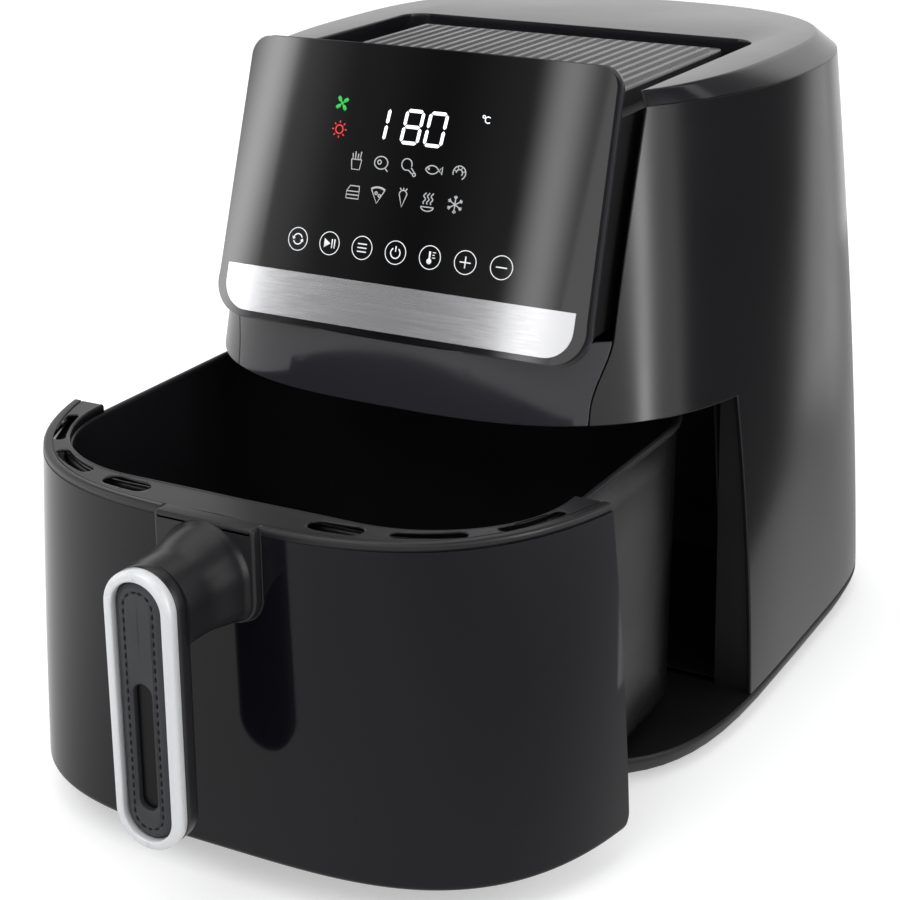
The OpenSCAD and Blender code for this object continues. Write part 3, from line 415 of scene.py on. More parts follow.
# The points of a line at the given lengths along it.
def pick(line, steps, at):
    return np.stack([np.interp(at, steps, line[:, k]) for k in range(line.shape[1])], axis=-1)


# The same line with left and right swapped, run backwards.
def mirrored(line):
    return (line * np.r_[-1, np.ones(line.shape[1] - 1)])[::-1]


# A flat line laid level at height z, or stood upright at depth y.
def atHeight(flat, z):
    return np.column_stack([flat, np.full(len(flat), z)])


def atDepth(flat, y):
    return np.column_stack([flat[:, 0], np.full(len(flat), y), flat[:, 1]])


# Points from a to b at even distances.
def straight(a, b, count):
    return mix(np.array(a, float), np.array(b, float), np.linspace(0, 1, count)[:, None])


# Outward normals of a closed outline, from the direction between each point's neighbours.
def outlineNormals(outline):
    after = np.roll(outline, -1, axis=0)
    along = after - np.roll(outline, 1, axis=0)
    along /= np.maximum(np.linalg.norm(along, axis=1, keepdims=True), 1e-9)
    area = np.sum(outline[:, 0] * after[:, 1] - after[:, 0] * outline[:, 1])
    return np.stack([along[:, 1], -along[:, 0]], axis=-1) * (1 if area > 0 else -1)


# Part of a circle, from start to end in degrees.
def arc(x, y, r, start, end, count=13):
    a = np.radians(np.linspace(start, end, count))
    return np.stack([x + r * np.cos(a), y + r * np.sin(a)], axis=-1)


# Rounded rectangle from four quarter circles, with extra points along the straight side after each.
def roundedBox(halfX, halfY, r, y, corner, side):
    signs, parts = [(1, 1), (-1, 1), (-1, -1), (1, -1)], []
    for k, (sx, sy) in enumerate(signs):
        nx, ny = signs[(k + 1) % 4]
        turn = arc(sx * (halfX - r), y + sy * (halfY - r), r, 90 * k, 90 * k + 90, corner)
        after = (nx * halfX, y + ny * (halfY - r)) if k % 2 else (nx * (halfX - r), y + ny * halfY)
        parts += [turn, straight(turn[-1], after, side + 2)[1:-1]]
    return np.concatenate(parts)


# A tall box with round ends.
def stadium(width, height, z):
    return roundedBox(width / 2, height / 2, width / 2 - 0.001, z, 17, 25)


# Quads between neighbouring rows and columns of a grid; a closed direction joins its last line to its first.
def gridFaces(rows, cols, closeRows=False, closeCols=False):
    r, c = np.meshgrid(np.arange(rows if closeRows else rows - 1), np.arange(cols if closeCols else cols - 1),
                       indexing="ij")
    r2, c2 = (r + 1) % rows, (c + 1) % cols
    return np.stack([r * cols + c, r * cols + c2, r2 * cols + c2, r2 * cols + c], axis=-1).reshape(-1, 4)


# Puts points and faces into an object; closed forms get their normals recalculated, open ones look away from heart.
def makePiece(name, points, faces, finish, place, caps=(), closed=True, heart=(0, 0, 150), sharp=40):
    points = np.asarray(points, dtype=float).reshape(-1, 3)
    faces = [list(map(int, f)) for f in faces] + [list(map(int, c)) for c in caps]
    used = np.unique(np.concatenate([np.asarray(f) for f in faces]))
    order = np.full(len(points), -1)
    order[used] = np.arange(len(used))
    shift = np.array([0, bodyY if place == "housing" else drawerY, 0])
    mesh = bpy.data.meshes.new(name)
    mesh.from_pydata(((points[used] + shift) * mm).tolist(), [], [order[f].tolist() for f in faces])
    bm = bmesh.new()
    bm.from_mesh(mesh)
    bmesh.ops.remove_doubles(bm, verts=bm.verts, dist=1e-6)
    bmesh.ops.dissolve_degenerate(bm, dist=1e-6, edges=bm.edges)
    if closed:
        bmesh.ops.holes_fill(bm, edges=[e for e in bm.edges if e.is_boundary], sides=0)
        bmesh.ops.recalc_face_normals(bm, faces=bm.faces)
        outwards = bm.calc_volume(signed=True)
    else:
        middle = Vector((np.array(heart) + shift) * mm)
        outwards = sum(f.normal.dot(f.calc_center_median() - middle) * f.calc_area() for f in bm.faces)
    if outwards < 0:
        bmesh.ops.reverse_faces(bm, faces=bm.faces)
    bm.to_mesh(mesh)
    bm.free()
    mesh.shade_smooth()
    mesh.set_sharp_from_angle(angle=math.radians(sharp))
    mesh.materials.append(finish)
    piece = bpy.data.objects.new(name, mesh)
    bpy.context.scene.collection.objects.link(piece)
    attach(piece, place)
    return piece


# Gives an open surface a wall behind it, and its rim a rounded edge.
def thicken(piece, thick, edge=0.0, segments=2):
    wall = piece.modifiers.new("wall", "SOLIDIFY")
    wall.thickness, wall.offset, wall.use_even_offset = thick * mm, -1.0, True
    if edge:
        soft = piece.modifiers.new("soft_edge", "BEVEL")
        soft.width, soft.segments, soft.harden_normals = edge * mm, segments, True
        soft.limit_method, soft.angle_limit = "ANGLE", math.radians(50)


# A stack of closed outlines, each with as many points, with a flat cap at each end.
def makeStack(name, rings, finish, place, sharp=40):
    m, n = np.shape(rings)[:2]
    caps = [np.arange(n), (m - 1) * n + np.arange(n)]
    return makePiece(name, rings, gridFaces(m, n, closeCols=True), finish, place, caps, sharp=sharp)


# Outline in x and z carried along y, drawn in by each inset at its y: the profile of a slab's rounded edge.
def alongY(outline, profile):
    normals = outlineNormals(outline)
    return np.array([atDepth(outline - normals * inset, y) for inset, y in profile])


# Quarter circle as (inset, depth) from the edge's foot round to its face.
def quarter(r, count=5):
    a = np.linspace(0, math.pi / 2, count)
    return [(r * (1 - math.sin(t)), r * (1 - math.cos(t))) for t in a]


# Side and back shell.
shellSet = {"low": 15.15, "edge": 0.8, "grilleHalf": 48.3, "grilleLow": 191.7, "grilleHigh": 228.3,
            "frontColumns": 46, "sideColumns": 84, "backColumns": 14}


# Rows of the body's outline, each spread evenly from the plate's opening to the mouth line, the grille and the
# middle; the mouth and the grille are left open.
def makeShell():
    s, mouthTop = shellSet, bodySet["mouthTop"]
    heights = np.unique(np.r_[np.linspace(s["low"], mouthTop, 36), np.linspace(mouthTop, s["grilleLow"], 3),
                              np.linspace(s["grilleLow"], s["grilleHigh"], 17),
                              np.linspace(s["grilleHigh"], bodySet["shoulder"], 32)])
    rows = []
    for z in heights:
        line, steps, wide = halfOval(halfWidth(z), frontReach(z), backReach(z), roundness(z))
        start = np.interp(openingHalf(z), line[:wide, 0], steps[:wide])
        mouth = np.interp(mouthLine(z), line[:, 1], steps)
        grille = np.interp(s["grilleHalf"], line[wide:, 0][::-1], steps[wide:][::-1])
        right = pick(line, steps, np.r_[np.linspace(start, mouth, s["frontColumns"])[:-1],
                                        np.linspace(mouth, grille, s["sideColumns"])[:-1],
                                        np.linspace(grille, steps[-1], s["backColumns"])])
        rows.append(atHeight(np.concatenate([right, mirrored(right)[1:]]), z))
    rows = np.array(rows)
    cols = rows.shape[1]
    faces = gridFaces(*rows.shape[:2])
    middle = heights[faces[:, 0] // cols] + 0.01
    column = np.minimum(faces[:, 0] % cols, cols - 2 - faces[:, 0] % cols)
    front = (column < s["frontColumns"] - 1) & (middle < mouthTop)
    grille = ((column >= s["frontColumns"] + s["sideColumns"] - 2) & (middle > s["grilleLow"])
              & (middle < s["grilleHigh"] - 0.1))
    shell = makePiece("body_shell", rows, faces[~(front | grille)], satinAbs, "housing", closed=False)
    thicken(shell, bodySet["wall"], s["edge"])
    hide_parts("outer_shell")


makeShell()
print("shell made")


# Rim round the top.
rimSet = {"topHalf": 130.0, "topFront": 200.0, "topBack": 132.0, "topRound": 0.75, "corner": 14.0, "tip": 3.5,
          "climb": (0.0, 0.04, 0.3, 0.6, 0.85, 0.94), "crest": ((0.15, 0.2), (0.5, 0.05), (1.0, 0.0))}


# A closed loop: the outer outline from arm tip round to arm tip, then back along the sunken place's edge, which
# climbs from the tray to low at the tips.
def rimLoop(half, front, back, e, low):
    inner, rear, r, tip = bodySet["recessHalf"], bodySet["recessBack"], rimSet["corner"], rimSet["tip"]
    line, steps, wide = halfOval(half, front, back, e)
    start = np.interp(inner, line[:wide, 0], steps[:wide])
    right = pick(line, steps, np.linspace(start + tip, steps[-1], 130))
    outer = np.concatenate([right, mirrored(right)[1:]])
    point = pick(line, steps, np.array([start]))[0]
    leave = np.array([inner, point[1] + tip])
    t = np.linspace(0, 1, 11)[:, None]
    bend = (1 - t) ** 2 * leave + 2 * t * (1 - t) * point + t ** 2 * right[0]
    innerHalf = np.concatenate([straight((0, rear), (inner - r, rear), 32)[:-1], arc(inner - r, rear - r, r, 90, 0, 15),
                                straight((inner, rear - r), leave, 76)[1:-1], bend[:-1]])
    climb = np.linspace(bodySet["tray"], low, 11)[1:]
    edge = np.r_[np.full(len(innerHalf) - len(climb), bodySet["tray"]), climb]
    loop = np.concatenate([outer, mirrored(innerHalf), innerHalf[1:]])
    return loop, np.r_[np.full(len(outer), low), edge[::-1], edge[1:]]


# The loop at the shoulder and the smaller one at the top, joined in a slope, with a small round at the crest.
def makeTopRim():
    z, top = bodySet["shoulder"], bodySet["top"]
    low, lowZ = rimLoop(halfWidth(z), frontReach(z), backReach(z), roundness(z), z)
    high, _ = rimLoop(rimSet["topHalf"], rimSet["topFront"], rimSet["topBack"], rimSet["topRound"], z)
    rings = [np.column_stack([mix(low, high, t), mix(lowZ, top, t)]) for t in rimSet["climb"]]
    rings += [atHeight(high - outlineNormals(high) * inset, top - drop) for inset, drop in rimSet["crest"]]
    n, k = len(high), np.arange(len(high) // 2 - 1)
    across = np.stack([k, k + 1, n - 2 - k, n - 1 - k], axis=-1)
    faces = np.concatenate([gridFaces(len(rings), n, closeCols=True), across[:, ::-1], across + (len(rings) - 1) * n])
    rim = makePiece("top_rim_band", rings, faces, rimAbs, "housing", sharp=50)
    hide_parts("top_rim")


# Ribbed panel in the sunken place.
ribSet = {"half": 91.0, "pitch": 7.0, "height": 1.4, "back": 7.0, "top": 340.6, "corner": 6.0, "share": 0.56,
          "shoulder": 0.14, "edge": 1.2, "plateGap": 8.4, "plateGapTop": 8.6, "fadeAt": 5.5, "fadeOver": 3.0,
          "lift": 0.05}


# A point on the plate's slope: x across, h up and depth behind it, on a wide circle that falls back to the sides.
def onPlate(x, h, depth):
    y = depth + plateSet["bow"] - np.sqrt(plateSet["bow"] ** 2 - x ** 2)
    c, s = math.cos(plateSet["lean"]), math.sin(plateSet["lean"])
    return np.stack([x, -plateSet["front"] + y * c + h * s, plateSet["foot"] - y * s + h * c], axis=-1)


# Height over x: each rib is a raised band with rounded shoulders, fading out before the back edge.
def makeRibs():
    s, half, back = ribSet, ribSet["half"], ribSet["back"]
    base, foot, r = s["top"] - s["height"], bodySet["tray"] + s["lift"], s["edge"]
    count = int(half / s["pitch"] - 0.6)
    inside = np.linspace(-(count + 0.5) * s["pitch"], (count + 0.5) * s["pitch"], (2 * count + 1) * 14 + 1)
    turn = np.linspace(0, math.pi / 2, 5)
    edge, lip = half - r * (1 - np.cos(turn)), r * (1 - np.sin(turn))
    x = np.r_[-edge, inside, edge[::-1]]
    fall = np.r_[lip, np.zeros(len(inside)), lip[::-1]]
    offset = np.abs(inside / s["pitch"] - np.round(inside / s["pitch"]))
    shape = smoothStep((0.5 * s["share"] + s["shoulder"] / 2 - offset) / s["shoulder"])
    ribs = np.r_[np.zeros(5), shape, np.zeros(5)]
    hBack = (s["top"] - plateSet["foot"] + s["plateGapTop"] * math.sin(plateSet["lean"])) / math.cos(plateSet["lean"])
    start = onPlate(x, hBack, s["plateGap"])[:, 1]
    rows = []
    for t in np.r_[np.linspace(0, 0.93, 12), np.linspace(0.945, 0.995, 9)]:
        y = mix(start, back, t)
        fade = smoothStep((back - s["fadeAt"] - y) / s["fadeOver"])
        rows.append(np.column_stack([x, y, base - fall + s["height"] * ribs * fade]))
    for t in np.linspace(0.1, math.pi / 2, 5):
        y = np.full(len(x), back - r + r * math.sin(t))
        rows.append(np.column_stack([x, y, base - np.maximum(fall, r * (1 - math.cos(t)))]))
    rows.append(np.column_stack([x, np.full(len(x), back), np.full(len(x), foot)]))
    rows = np.array(rows)
    # the back corners: x is held inside a quarter circle
    corner = np.maximum(rows[:, :, 1] - (back - s["corner"]), 0)
    limit = half - (s["corner"] - np.sqrt(np.maximum(s["corner"] ** 2 - corner ** 2, 0)))
    rows[:, :, 0] = np.clip(rows[:, :, 0], -limit, limit)
    # skirts down to the tray at both sides and in front
    rows = np.concatenate([rows[:, :1], rows, rows[:, -1:]], axis=1)
    rows[:, [0, -1], 2] = foot
    rows = np.concatenate([rows[:1], rows])
    rows[0, :, 2] = foot
    # the ribs' paler colour is a painted sheen
    panel = makePiece("ribbed_top_panel", rows, gridFaces(*rows.shape[:2]), ribPaintedSheenAbs, "housing", sharp=60)
    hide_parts("ribbed_panel")


makeTopRim()
makeRibs()
print("top made")


# Control plate, its grey frame and the steel strip; steel is in lengths up the plate's slope.
steelSet = {"half": 97.5, "low": 3.0, "high": 26.0, "round": 14.0, "proud": 0.85, "thick": 0.8, "edge": 0.3}
edgeSet = {"plate": 0.9, "frame": 0.4, "frameOut": 1.0, "frameGap": 0.02}


# Rows up the slope, each across the sheet's width there: straight from lowHalf to topHalf, less a quarter circle at
# each rounded end.
def plateSheet(name, halves, heights, rounds, depth, finish):
    (lowHalf, topHalf), (low, high), (lowRound, topRound) = halves, heights, rounds
    t = np.linspace(0, math.pi / 2, 12)
    h, half = [low + lowRound * (1 - np.cos(t))], [lowHalf - lowRound + lowRound * np.sin(t)]
    if topRound:
        middle = np.linspace(low + lowRound, high - topRound, 24)[1:-1]
        shoulder = mix(lowHalf, topHalf, (high - topRound - low) / (high - low))
        h += [middle, high - topRound + topRound * np.sin(t)]
        half += [mix(lowHalf, topHalf, (middle - low) / (high - low)), shoulder - topRound + topRound * np.cos(t)]
    else:
        h.append(np.linspace(low + lowRound, high, 8)[1:])
        half.append(np.full(7, topHalf))
    h, half = np.concatenate(h), np.concatenate(half)
    bend = math.pi / 2 * 0.98
    x = half[:, None] * (np.sin(np.linspace(-1, 1, 61) * bend) / math.sin(bend))[None, :]
    points = onPlate(x, np.broadcast_to(h[:, None], x.shape), depth)
    return makePiece(name, points, gridFaces(*x.shape), finish, "housing", closed=False, heart=(0, 0, 250))


# The glass plate, the grey frame just outside and behind it, and the steel strip that stands proud of its foot.
def makePlates():
    p, e, s = plateSet, edgeSet, steelSet
    out = e["frameOut"]
    plate = plateSheet("black_glass_plate", (p["lowHalf"], p["topHalf"]), (0, p["height"]),
                       (p["lowRound"], p["topRound"]), 0, panelGlass)
    thicken(plate, p["thick"], e["plate"], 3)
    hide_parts("control_plate")
    border = plateSheet("grey_plate_frame", (p["lowHalf"] + out, p["topHalf"] + out), (-out, p["height"] + out),
                        (p["lowRound"] + out, p["topRound"] + out), p["thick"] + e["frameGap"], trimGrey)
    thicken(border, p["frame"] - e["frameGap"], e["frame"])
    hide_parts("plate_frame")
    strip = plateSheet("brushed_strip", (s["half"], s["half"]), (s["low"], s["high"]), (s["round"], 0),
                       -s["proud"], brushedSteel)
    thicken(strip, s["thick"], s["edge"])
    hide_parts("steel_strip")


makePlates()

# Display digits and printed icons on the plate, drawn flat in x and height up the plate.
iconSet = {"line": 0.62, "thin": 0.5, "lift": 0.1, "buttonLine": 0.42, "buttonSize": 11.4, "buttonPitch": 19.0,
           "buttonHeight": 42.3, "digitLow": 95.6, "digitHigh": 111.2, "digitWidth": 8.9, "digitBar": 1.7,
           "digitLean": 0.11, "presetSize": 1.12}


# A flat band of even width along a line, mitred at its bends.
def band(line, width, closed=False):
    line = np.asarray(line, dtype=float)
    along = np.roll(line, -1, axis=0) - np.roll(line, 1, axis=0) if closed else np.gradient(line, axis=0)
    along /= np.maximum(np.linalg.norm(along, axis=1, keepdims=True), 1e-9)
    side = np.stack([-along[:, 1], along[:, 0]], axis=-1) * width / 2
    n = len(line)
    k = np.arange(n if closed else n - 1)
    j = (k + 1) % n
    return np.concatenate([line + side, line - side]), np.stack([k, j, n + j, n + k], axis=-1).tolist()


# One filled face inside an outline.
def patch(outline):
    return np.asarray(outline, dtype=float), [list(range(len(outline)))]


def disc(x, y, r, count):
    return patch(arc(x, y, r, 0, 360, count)[:-1])


def ring(x, y, r, width, count=40):
    return band(arc(x, y, r, 0, 360, count + 1)[:-1], width, closed=True)


def moved(art, x, y, scale=1.0):
    return [(points * scale + np.array([x, y]), faces) for points, faces in art]


# Lays art on the plate's slope, a film's thickness proud of the glass.
def printArt(name, art, finish):
    starts = np.cumsum([0] + [len(flat) for flat, _ in art])
    points = [onPlate(flat[:, 0], flat[:, 1], -iconSet["lift"]) for flat, _ in art]
    faces = [[start + i for i in cell] for start, (_, cells) in zip(starts, art) for cell in cells]
    piece = makePiece(name, np.concatenate(points), faces, finish, "housing", closed=False, heart=(0, 0, 250))
    thicken(piece, iconSet["lift"] - 0.02)


# One bar of a digit: a long hexagon between two ends, leaning with the digit.
def digitBar(a, b, width):
    a, b = np.array(a, float), np.array(b, float)
    along = (b - a) / np.linalg.norm(b - a)
    side, tip = np.array([-along[1], along[0]]) * width / 2, along * width / 2
    a, b = a + along * 0.35, b - along * 0.35
    return np.array([a, a + tip + side, b - tip + side, b, b - tip - side, a + tip - side])


# Seven bars make a digit: a on top, then clockwise to f, and g across the middle.
def digit(bars, x):
    low, high, w = iconSet["digitLow"], iconSet["digitHigh"], iconSet["digitWidth"]
    middle = (low + high) / 2
    ends = {"a": ((0, high), (w, high)), "b": ((w, middle), (w, high)), "c": ((w, low), (w, middle)),
            "d": ((0, low), (w, low)), "e": ((0, low), (0, middle)), "f": ((0, middle), (0, high)),
            "g": ((0, middle), (w, middle))}
    art = []
    for bar in bars:
        shape = digitBar(*ends[bar], iconSet["digitBar"])
        shape[:, 0] += (shape[:, 1] - low) * iconSet["digitLean"] + x
        art.append(patch(shape))
    return art


# Half a turn with an arrow head.
def arrowArc(r, start, end, line):
    turn = math.radians(end)
    out, ahead = np.array([math.cos(turn), math.sin(turn)]), np.array([-math.sin(turn), math.cos(turn)])
    tip = r * out
    return [band(arc(0, 0, r, start, end, 19), line), patch([tip + ahead * 1.5, tip + out * 1.1, tip - out * 1.1])]


# Seven round buttons: turn, play and pause, menu, power, temperature, more and less.
def makeButtons():
    line = iconSet["line"]
    across, upright = band([(-2.9, 0), (2.9, 0)], line), band([(0, -2.9), (0, 2.9)], line)
    symbols = [
        arrowArc(2.6, 20, 160, line) + arrowArc(2.6, 200, 340, line),
        [patch([(-3.0, -2.3), (0.6, 0), (-3.0, 2.3)])] + [band([(x, -2.3), (x, 2.3)], line) for x in (1.5, 3.0)],
        [band([(-2.6, y), (2.6, y)], line) for y in (-1.9, 0, 1.9)],
        [band(arc(0, -0.2, 2.6, 125, 415, 29), line), band([(0, 0.4), (0, 3.2)], line)],
        [band([(-0.2, 3.0), (-0.2, -0.9)], 1.0), disc(-0.2, -1.9, 1.35, 25)]
        + [band([(1.3, y), (x, y)], 0.45) for x, y in ((2.9, 2.6), (2.4, 1.3), (2.9, 0.0))],
        [across, upright], [across]]
    art = []
    for k, symbol in enumerate(symbols):
        button = symbol + [ring(0, 0, iconSet["buttonSize"] / 2, iconSet["buttonLine"])]
        art += moved(button, (k - 3) * iconSet["buttonPitch"], iconSet["buttonHeight"])
    printArt("button_symbols", art, iconWhite)


# The lit number with its degree sign, a fan with four blades, and a sun.
def makeDigits():
    art = digit("bc", -24.3) + digit("abcdefg", -5.6) + digit("abcdef", 7.3)
    art += [ring(37.1, 112.1, 0.65, 0.34, 20), band(arc(39.4, 110.7, 1.5, 45, 315, 25), 0.42)]
    printArt("lit_digits", art, digitWhite)
    leaf = np.array([(0.5, 0.2), (1.6, 1.6), (3.4, 1.9), (4.2, 0.7), (3.2, -0.1), (1.6, -0.2)])
    turns = [(math.cos(a), math.sin(a)) for a in np.radians([20, 110, 200, 290])]
    fan = [patch(leaf @ np.array([[c, s], [-s, c]])) for c, s in turns] + [disc(0, 0, 0.8, 17)]
    printArt("fan_sign", moved(fan, -41.6, 111.4), iconGreen)
    rays = [(math.cos(math.pi * k / 4), math.sin(math.pi * k / 4)) for k in range(8)]
    sun = [ring(0, 0, 2.1, 0.6, 24)] + [band([(3.1 * c, 3.1 * s), (4.3 * c, 4.3 * s)], 0.6) for c, s in rays]
    printArt("heat_sign", moved(sun, -41.3, 98.6), iconRed)


# Ten small pictures of common dishes, drawn as outlines in two rows.
def makePresets():
    t = iconSet["thin"]

    def stroke(*points, width=t):
        return band(points, width)

    def bow(*circle):
        return band(arc(*circle), t)

    fries = [stroke((-2.6, 0.6), (-2.0, -3.8), (2.0, -3.8), (2.6, 0.6), (-2.6, 0.6))]
    fries += [stroke((x, 0.8), (x * 1.15, 3.2 + (k % 2) * 0.9)) for k, x in enumerate((-1.9, -0.7, 0.6, 1.8))]
    chop = [band(arc(-0.4, 0.4, 2.9, 0, 360, 33)[:-1] * np.array([1.15, 0.95]), t, True), ring(-1.3, 0.6, 0.9, t, 20),
            stroke((1.6, -1.6), (3.3, -3.2))]
    drum = [bow(-0.9, 1.0, 2.5, -20, 290, 29), stroke((0.1, -1.3), (2.6, -3.2)), stroke((1.4, -0.2), (3.4, -2.4)),
            ring(3.2, -3.1, 0.7, t, 16)]
    fish = [bow(-0.6, -1.9, 3.7, 25, 150, 21), bow(-0.6, 1.9, 3.7, -150, -25, 21),
            stroke((2.8, 0), (4.3, 1.7), (4.3, -1.7), (2.8, 0)), ring(-2.3, 0.3, 0.4, 0.35, 12)]
    prawn = [bow(0, 0, 3.0, -60, 200, 29), bow(0, 0, 1.5, -40, 180, 21)]
    prawn += [stroke((1.5 * math.cos(a), 1.5 * math.sin(a)), (3 * math.cos(a), 3 * math.sin(a)), width=t * 0.8)
              for a in (0.3, 1.1, 1.9, 2.7)]
    cake = [stroke((-3.2, -3.0), (3.2, -3.0), (3.2, 0.2), (-3.2, 0.2), (-3.2, -3.0)),
            stroke((-3.2, 0.2), (-1.6, 2.6), (3.0, 2.6), (3.2, 0.2)), stroke((-3.2, -1.4), (3.2, -1.4))]
    pizza = [stroke((-3.4, 2.2), (0, -3.8), (3.4, 2.2)), band(arc(0, -3.4, 6.6, 58, 122, 17), 0.9),
             ring(-0.8, 0.6, 0.6, t, 14), ring(1.0, -0.4, 0.6, t, 14)]
    carrot = [stroke((-1.9, 1.6), (0, -4.0), (1.9, 1.6)), bow(0, 1.4, 1.9, 0, 180, 15), stroke((0, 3.3), (0, 4.4)),
              stroke((-0.8, 3.0), (-1.8, 4.2)), stroke((0.8, 3.0), (1.8, 4.2))]
    wave = np.linspace(-1.4, 3.6, 15)
    steam = [stroke((-3.2, -2.6), (3.2, -2.6)),
             band(arc(0, -2.6, 3.0, 180, 360, 21) * np.array([1, 0.6]) + np.array([0, -1.0]), t)]
    steam += [band(np.column_stack([x + 0.5 * np.sin(wave * 2.2), wave]), t) for x in (-1.8, 0, 1.8)]
    flake = []
    for a in [math.pi * k / 3 + math.pi / 6 for k in range(6)]:
        c, s = math.cos(a), math.sin(a)
        flake.append(stroke((0, 0), (3.9 * c, 3.9 * s)))
        flake += [stroke((2.3 * c, 2.3 * s), (2.3 * c + 1.4 * math.cos(a + side), 2.3 * s + 1.4 * math.sin(a + side)))
                  for side in (-0.55, 0.55)]
    rows = {84.2: ((fries, -28.9), (chop, -14.3), (drum, 0.6), (fish, 14.3), (prawn, 28.3)),
            69.0: ((cake, -28.6), (pizza, -14.4), (carrot, -0.3), (steam, 13.7), (flake, 28.3))}
    art = [part for y, row in rows.items() for symbol, x in row for part in moved(symbol, x, y, iconSet["presetSize"])]
    printArt("preset_signs", art, iconGrey)


makeButtons()
makeDigits()
makePresets()
print("plate made")


# Glossy band between the plate and the drawer.
fasciaSet = {"low": 186.35, "high": 220.2, "cornerHigh": 226.8, "cornerAt": 66.0, "cornerOver": 8.0, "topHalf": 106.0,
             "gap": 0.35, "edge": 0.6}


# The body's own surface between the mouth and the plate; its top edge dips where it meets the plate's frame.
# Depth is the front reach times (1 - |x / half|^n)^(1/n), the squared oval solved for y.
def makeFascia():
    s = fasciaSet
    across = np.sin(np.linspace(-1, 1, 81) * math.pi / 2 * 0.9) / math.sin(math.pi / 2 * 0.9)
    corner = smoothStep((np.abs(across * s["topHalf"]) - s["cornerAt"]) / s["cornerOver"])
    zTop = mix(s["high"], s["cornerHigh"], corner)
    z = mix(s["low"], zTop[None, :], np.linspace(0, 1, 12)[:, None])
    x = across[None, :] * (openingHalf(z) - s["gap"])
    n = 2 / roundness(z)
    y = -frontReach(z) * (1 - np.abs(x / halfWidth(z)) ** n) ** (1 / n)
    # the band's paler colour is a painted highlight
    fascia = makePiece("gloss_front_band", np.stack([x, y, z], axis=-1), gridFaces(*x.shape), bandPaintedHighlightAbs, "housing",
                       closed=False)
    thicken(fascia, bodySet["wall"], s["edge"], 3)
    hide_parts("front_fascia")


# Skirt round the base tray: how far each ring is drawn in, and its height.
skirtSet = {"out": 0.06, "profile": ((3.2, 14.6), (0.5, 14.6), (0.05, 14.1), (0.0, 12.5), (0.4, 11.0), (1.1, 9.5),
                                     (2.1, 7.2), (3.1, 5.0), (3.8, 4.1), (5.5, 4.0))}


# A smooth skirt just outside the base tray's lip: straight at the seam, then drawn in towards the floor.
def makeBaseSkirt():
    z = bodySet["seam"]
    reaches = np.array([halfWidth(z), frontReach(z), backReach(z)])
    angles = np.linspace(0, 2 * math.pi, 321)[:-1]
    rings = np.array([atHeight(ovalPoints(angles, *(reaches - inset + skirtSet["out"]), roundness(z)), height)
                      for inset, height in skirtSet["profile"]])
    skirt = makePiece("base_skirt", rings, gridFaces(*rings.shape[:2], closeCols=True, closeRows=True), mattAbs,
                      "housing", sharp=50)


makeFascia()
makeBaseSkirt()
print("body made")

# Pan: the radius inside its floor's edge, the bead rolled over its rim, how far below its top the outer wall's finish
# ends, and the cosine above which a face looks outwards.
panSet = {"corner": 9.0, "bead": 2.0, "beadHigh": 1.6, "wallTop": 3.5, "outward": 0.03}


# The pan's outline, grown outwards from its inner wall.
def panLine(grow, corner=24, side=14):
    d = drawerSet
    return roundedBox(d["panHalf"] + grow, d["panLength"] / 2 + grow, max(d["panRound"] + grow, 1.0), d["panMiddle"],
                      corner, side)


# One closed surface: the inner floor, a hollow curve up the wall, over the rolled edge and down the outside.
def makePan():
    d, r, bead = drawerSet, panSet["corner"], panSet["bead"]
    floor, top, wall = d["panFloor"], d["panTop"], d["panWall"]
    low = floor - wall
    profile = [(-40, floor), (-14, floor), (-r - 1, floor)]
    profile += [(-r + r * math.sin(a), floor + r - r * math.cos(a)) for a in np.linspace(0, math.pi / 2, 8)]
    profile += [(0, z) for z in np.linspace(floor + r, top - 2.2, 10)[1:]]
    profile += [(bead + bead * math.cos(a), top - panSet["beadHigh"] + panSet["beadHigh"] * math.sin(a))
                for a in np.linspace(math.pi, -math.pi / 2, 13)]
    profile += [(wall, z) for z in np.linspace(top - 4, floor + r, 10)]
    profile += [(wall - (r + wall) * (1 - math.sin(a)), low + (r + wall) * (1 - math.cos(a)))
                for a in np.linspace(math.pi / 2, 0, 8)[1:]]
    profile.append((-14, low))
    pan = makeStack("coated_pan", [atHeight(panLine(g), z) for g, z in profile], nonStick, "drawer", sharp=60)
    # faces that look away from the pan's middle, below its bead, take the outer wall's finish
    pan.data.materials.append(nonStickWall)
    centres, normals = np.zeros((2, len(pan.data.polygons) * 3))
    pan.data.polygons.foreach_get("center", centres)
    pan.data.polygons.foreach_get("normal", normals)
    centres, normals = centres.reshape(-1, 3), normals.reshape(-1, 3)
    away = centres[:, :2] - np.array([0, (d["panMiddle"] + drawerY) * mm])
    outward = np.sum(away * normals[:, :2], axis=1) > panSet["outward"] * np.linalg.norm(away, axis=1)
    outside = outward & (centres[:, 2] < (top - panSet["wallTop"]) * mm)
    pan.data.polygons.foreach_set("material_index", outside.astype(np.int32))
    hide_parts("pan")


makePan()
print("pan made")


# Drawer front.
frontSet = {"roundBelow": 3.0, "corner": 9.0, "edge": 0.4, "lift": 0.05, "gap": 0.5, "round": 0.59, "columns": 120}


# The drawer's reaches at z: its width changes with the square of the height, its depth and roundness evenly.
def drawerShape(z):
    t = (z - drawerSet["foot"]) / (drawerSet["top"] - drawerSet["foot"])
    half = mix(bodySet["width"] / 2 - frontSet["gap"], halfWidth(drawerSet["top"]), t ** 2)
    return (half, mix(drawerSet["reach"], frontReach(drawerSet["top"]), t),
            mix(frontSet["round"], roundness(drawerSet["top"]), t))


# Where the front ends beside the mouth: straight up, with a quarter circle at its lower corner.
def frontEnd(z):
    r = frontSet["corner"]
    up = np.clip(z - drawerSet["foot"], 0, r)
    return mouthLine(z) - frontSet["gap"] - (r - math.sqrt(r * r - (r - up) ** 2))


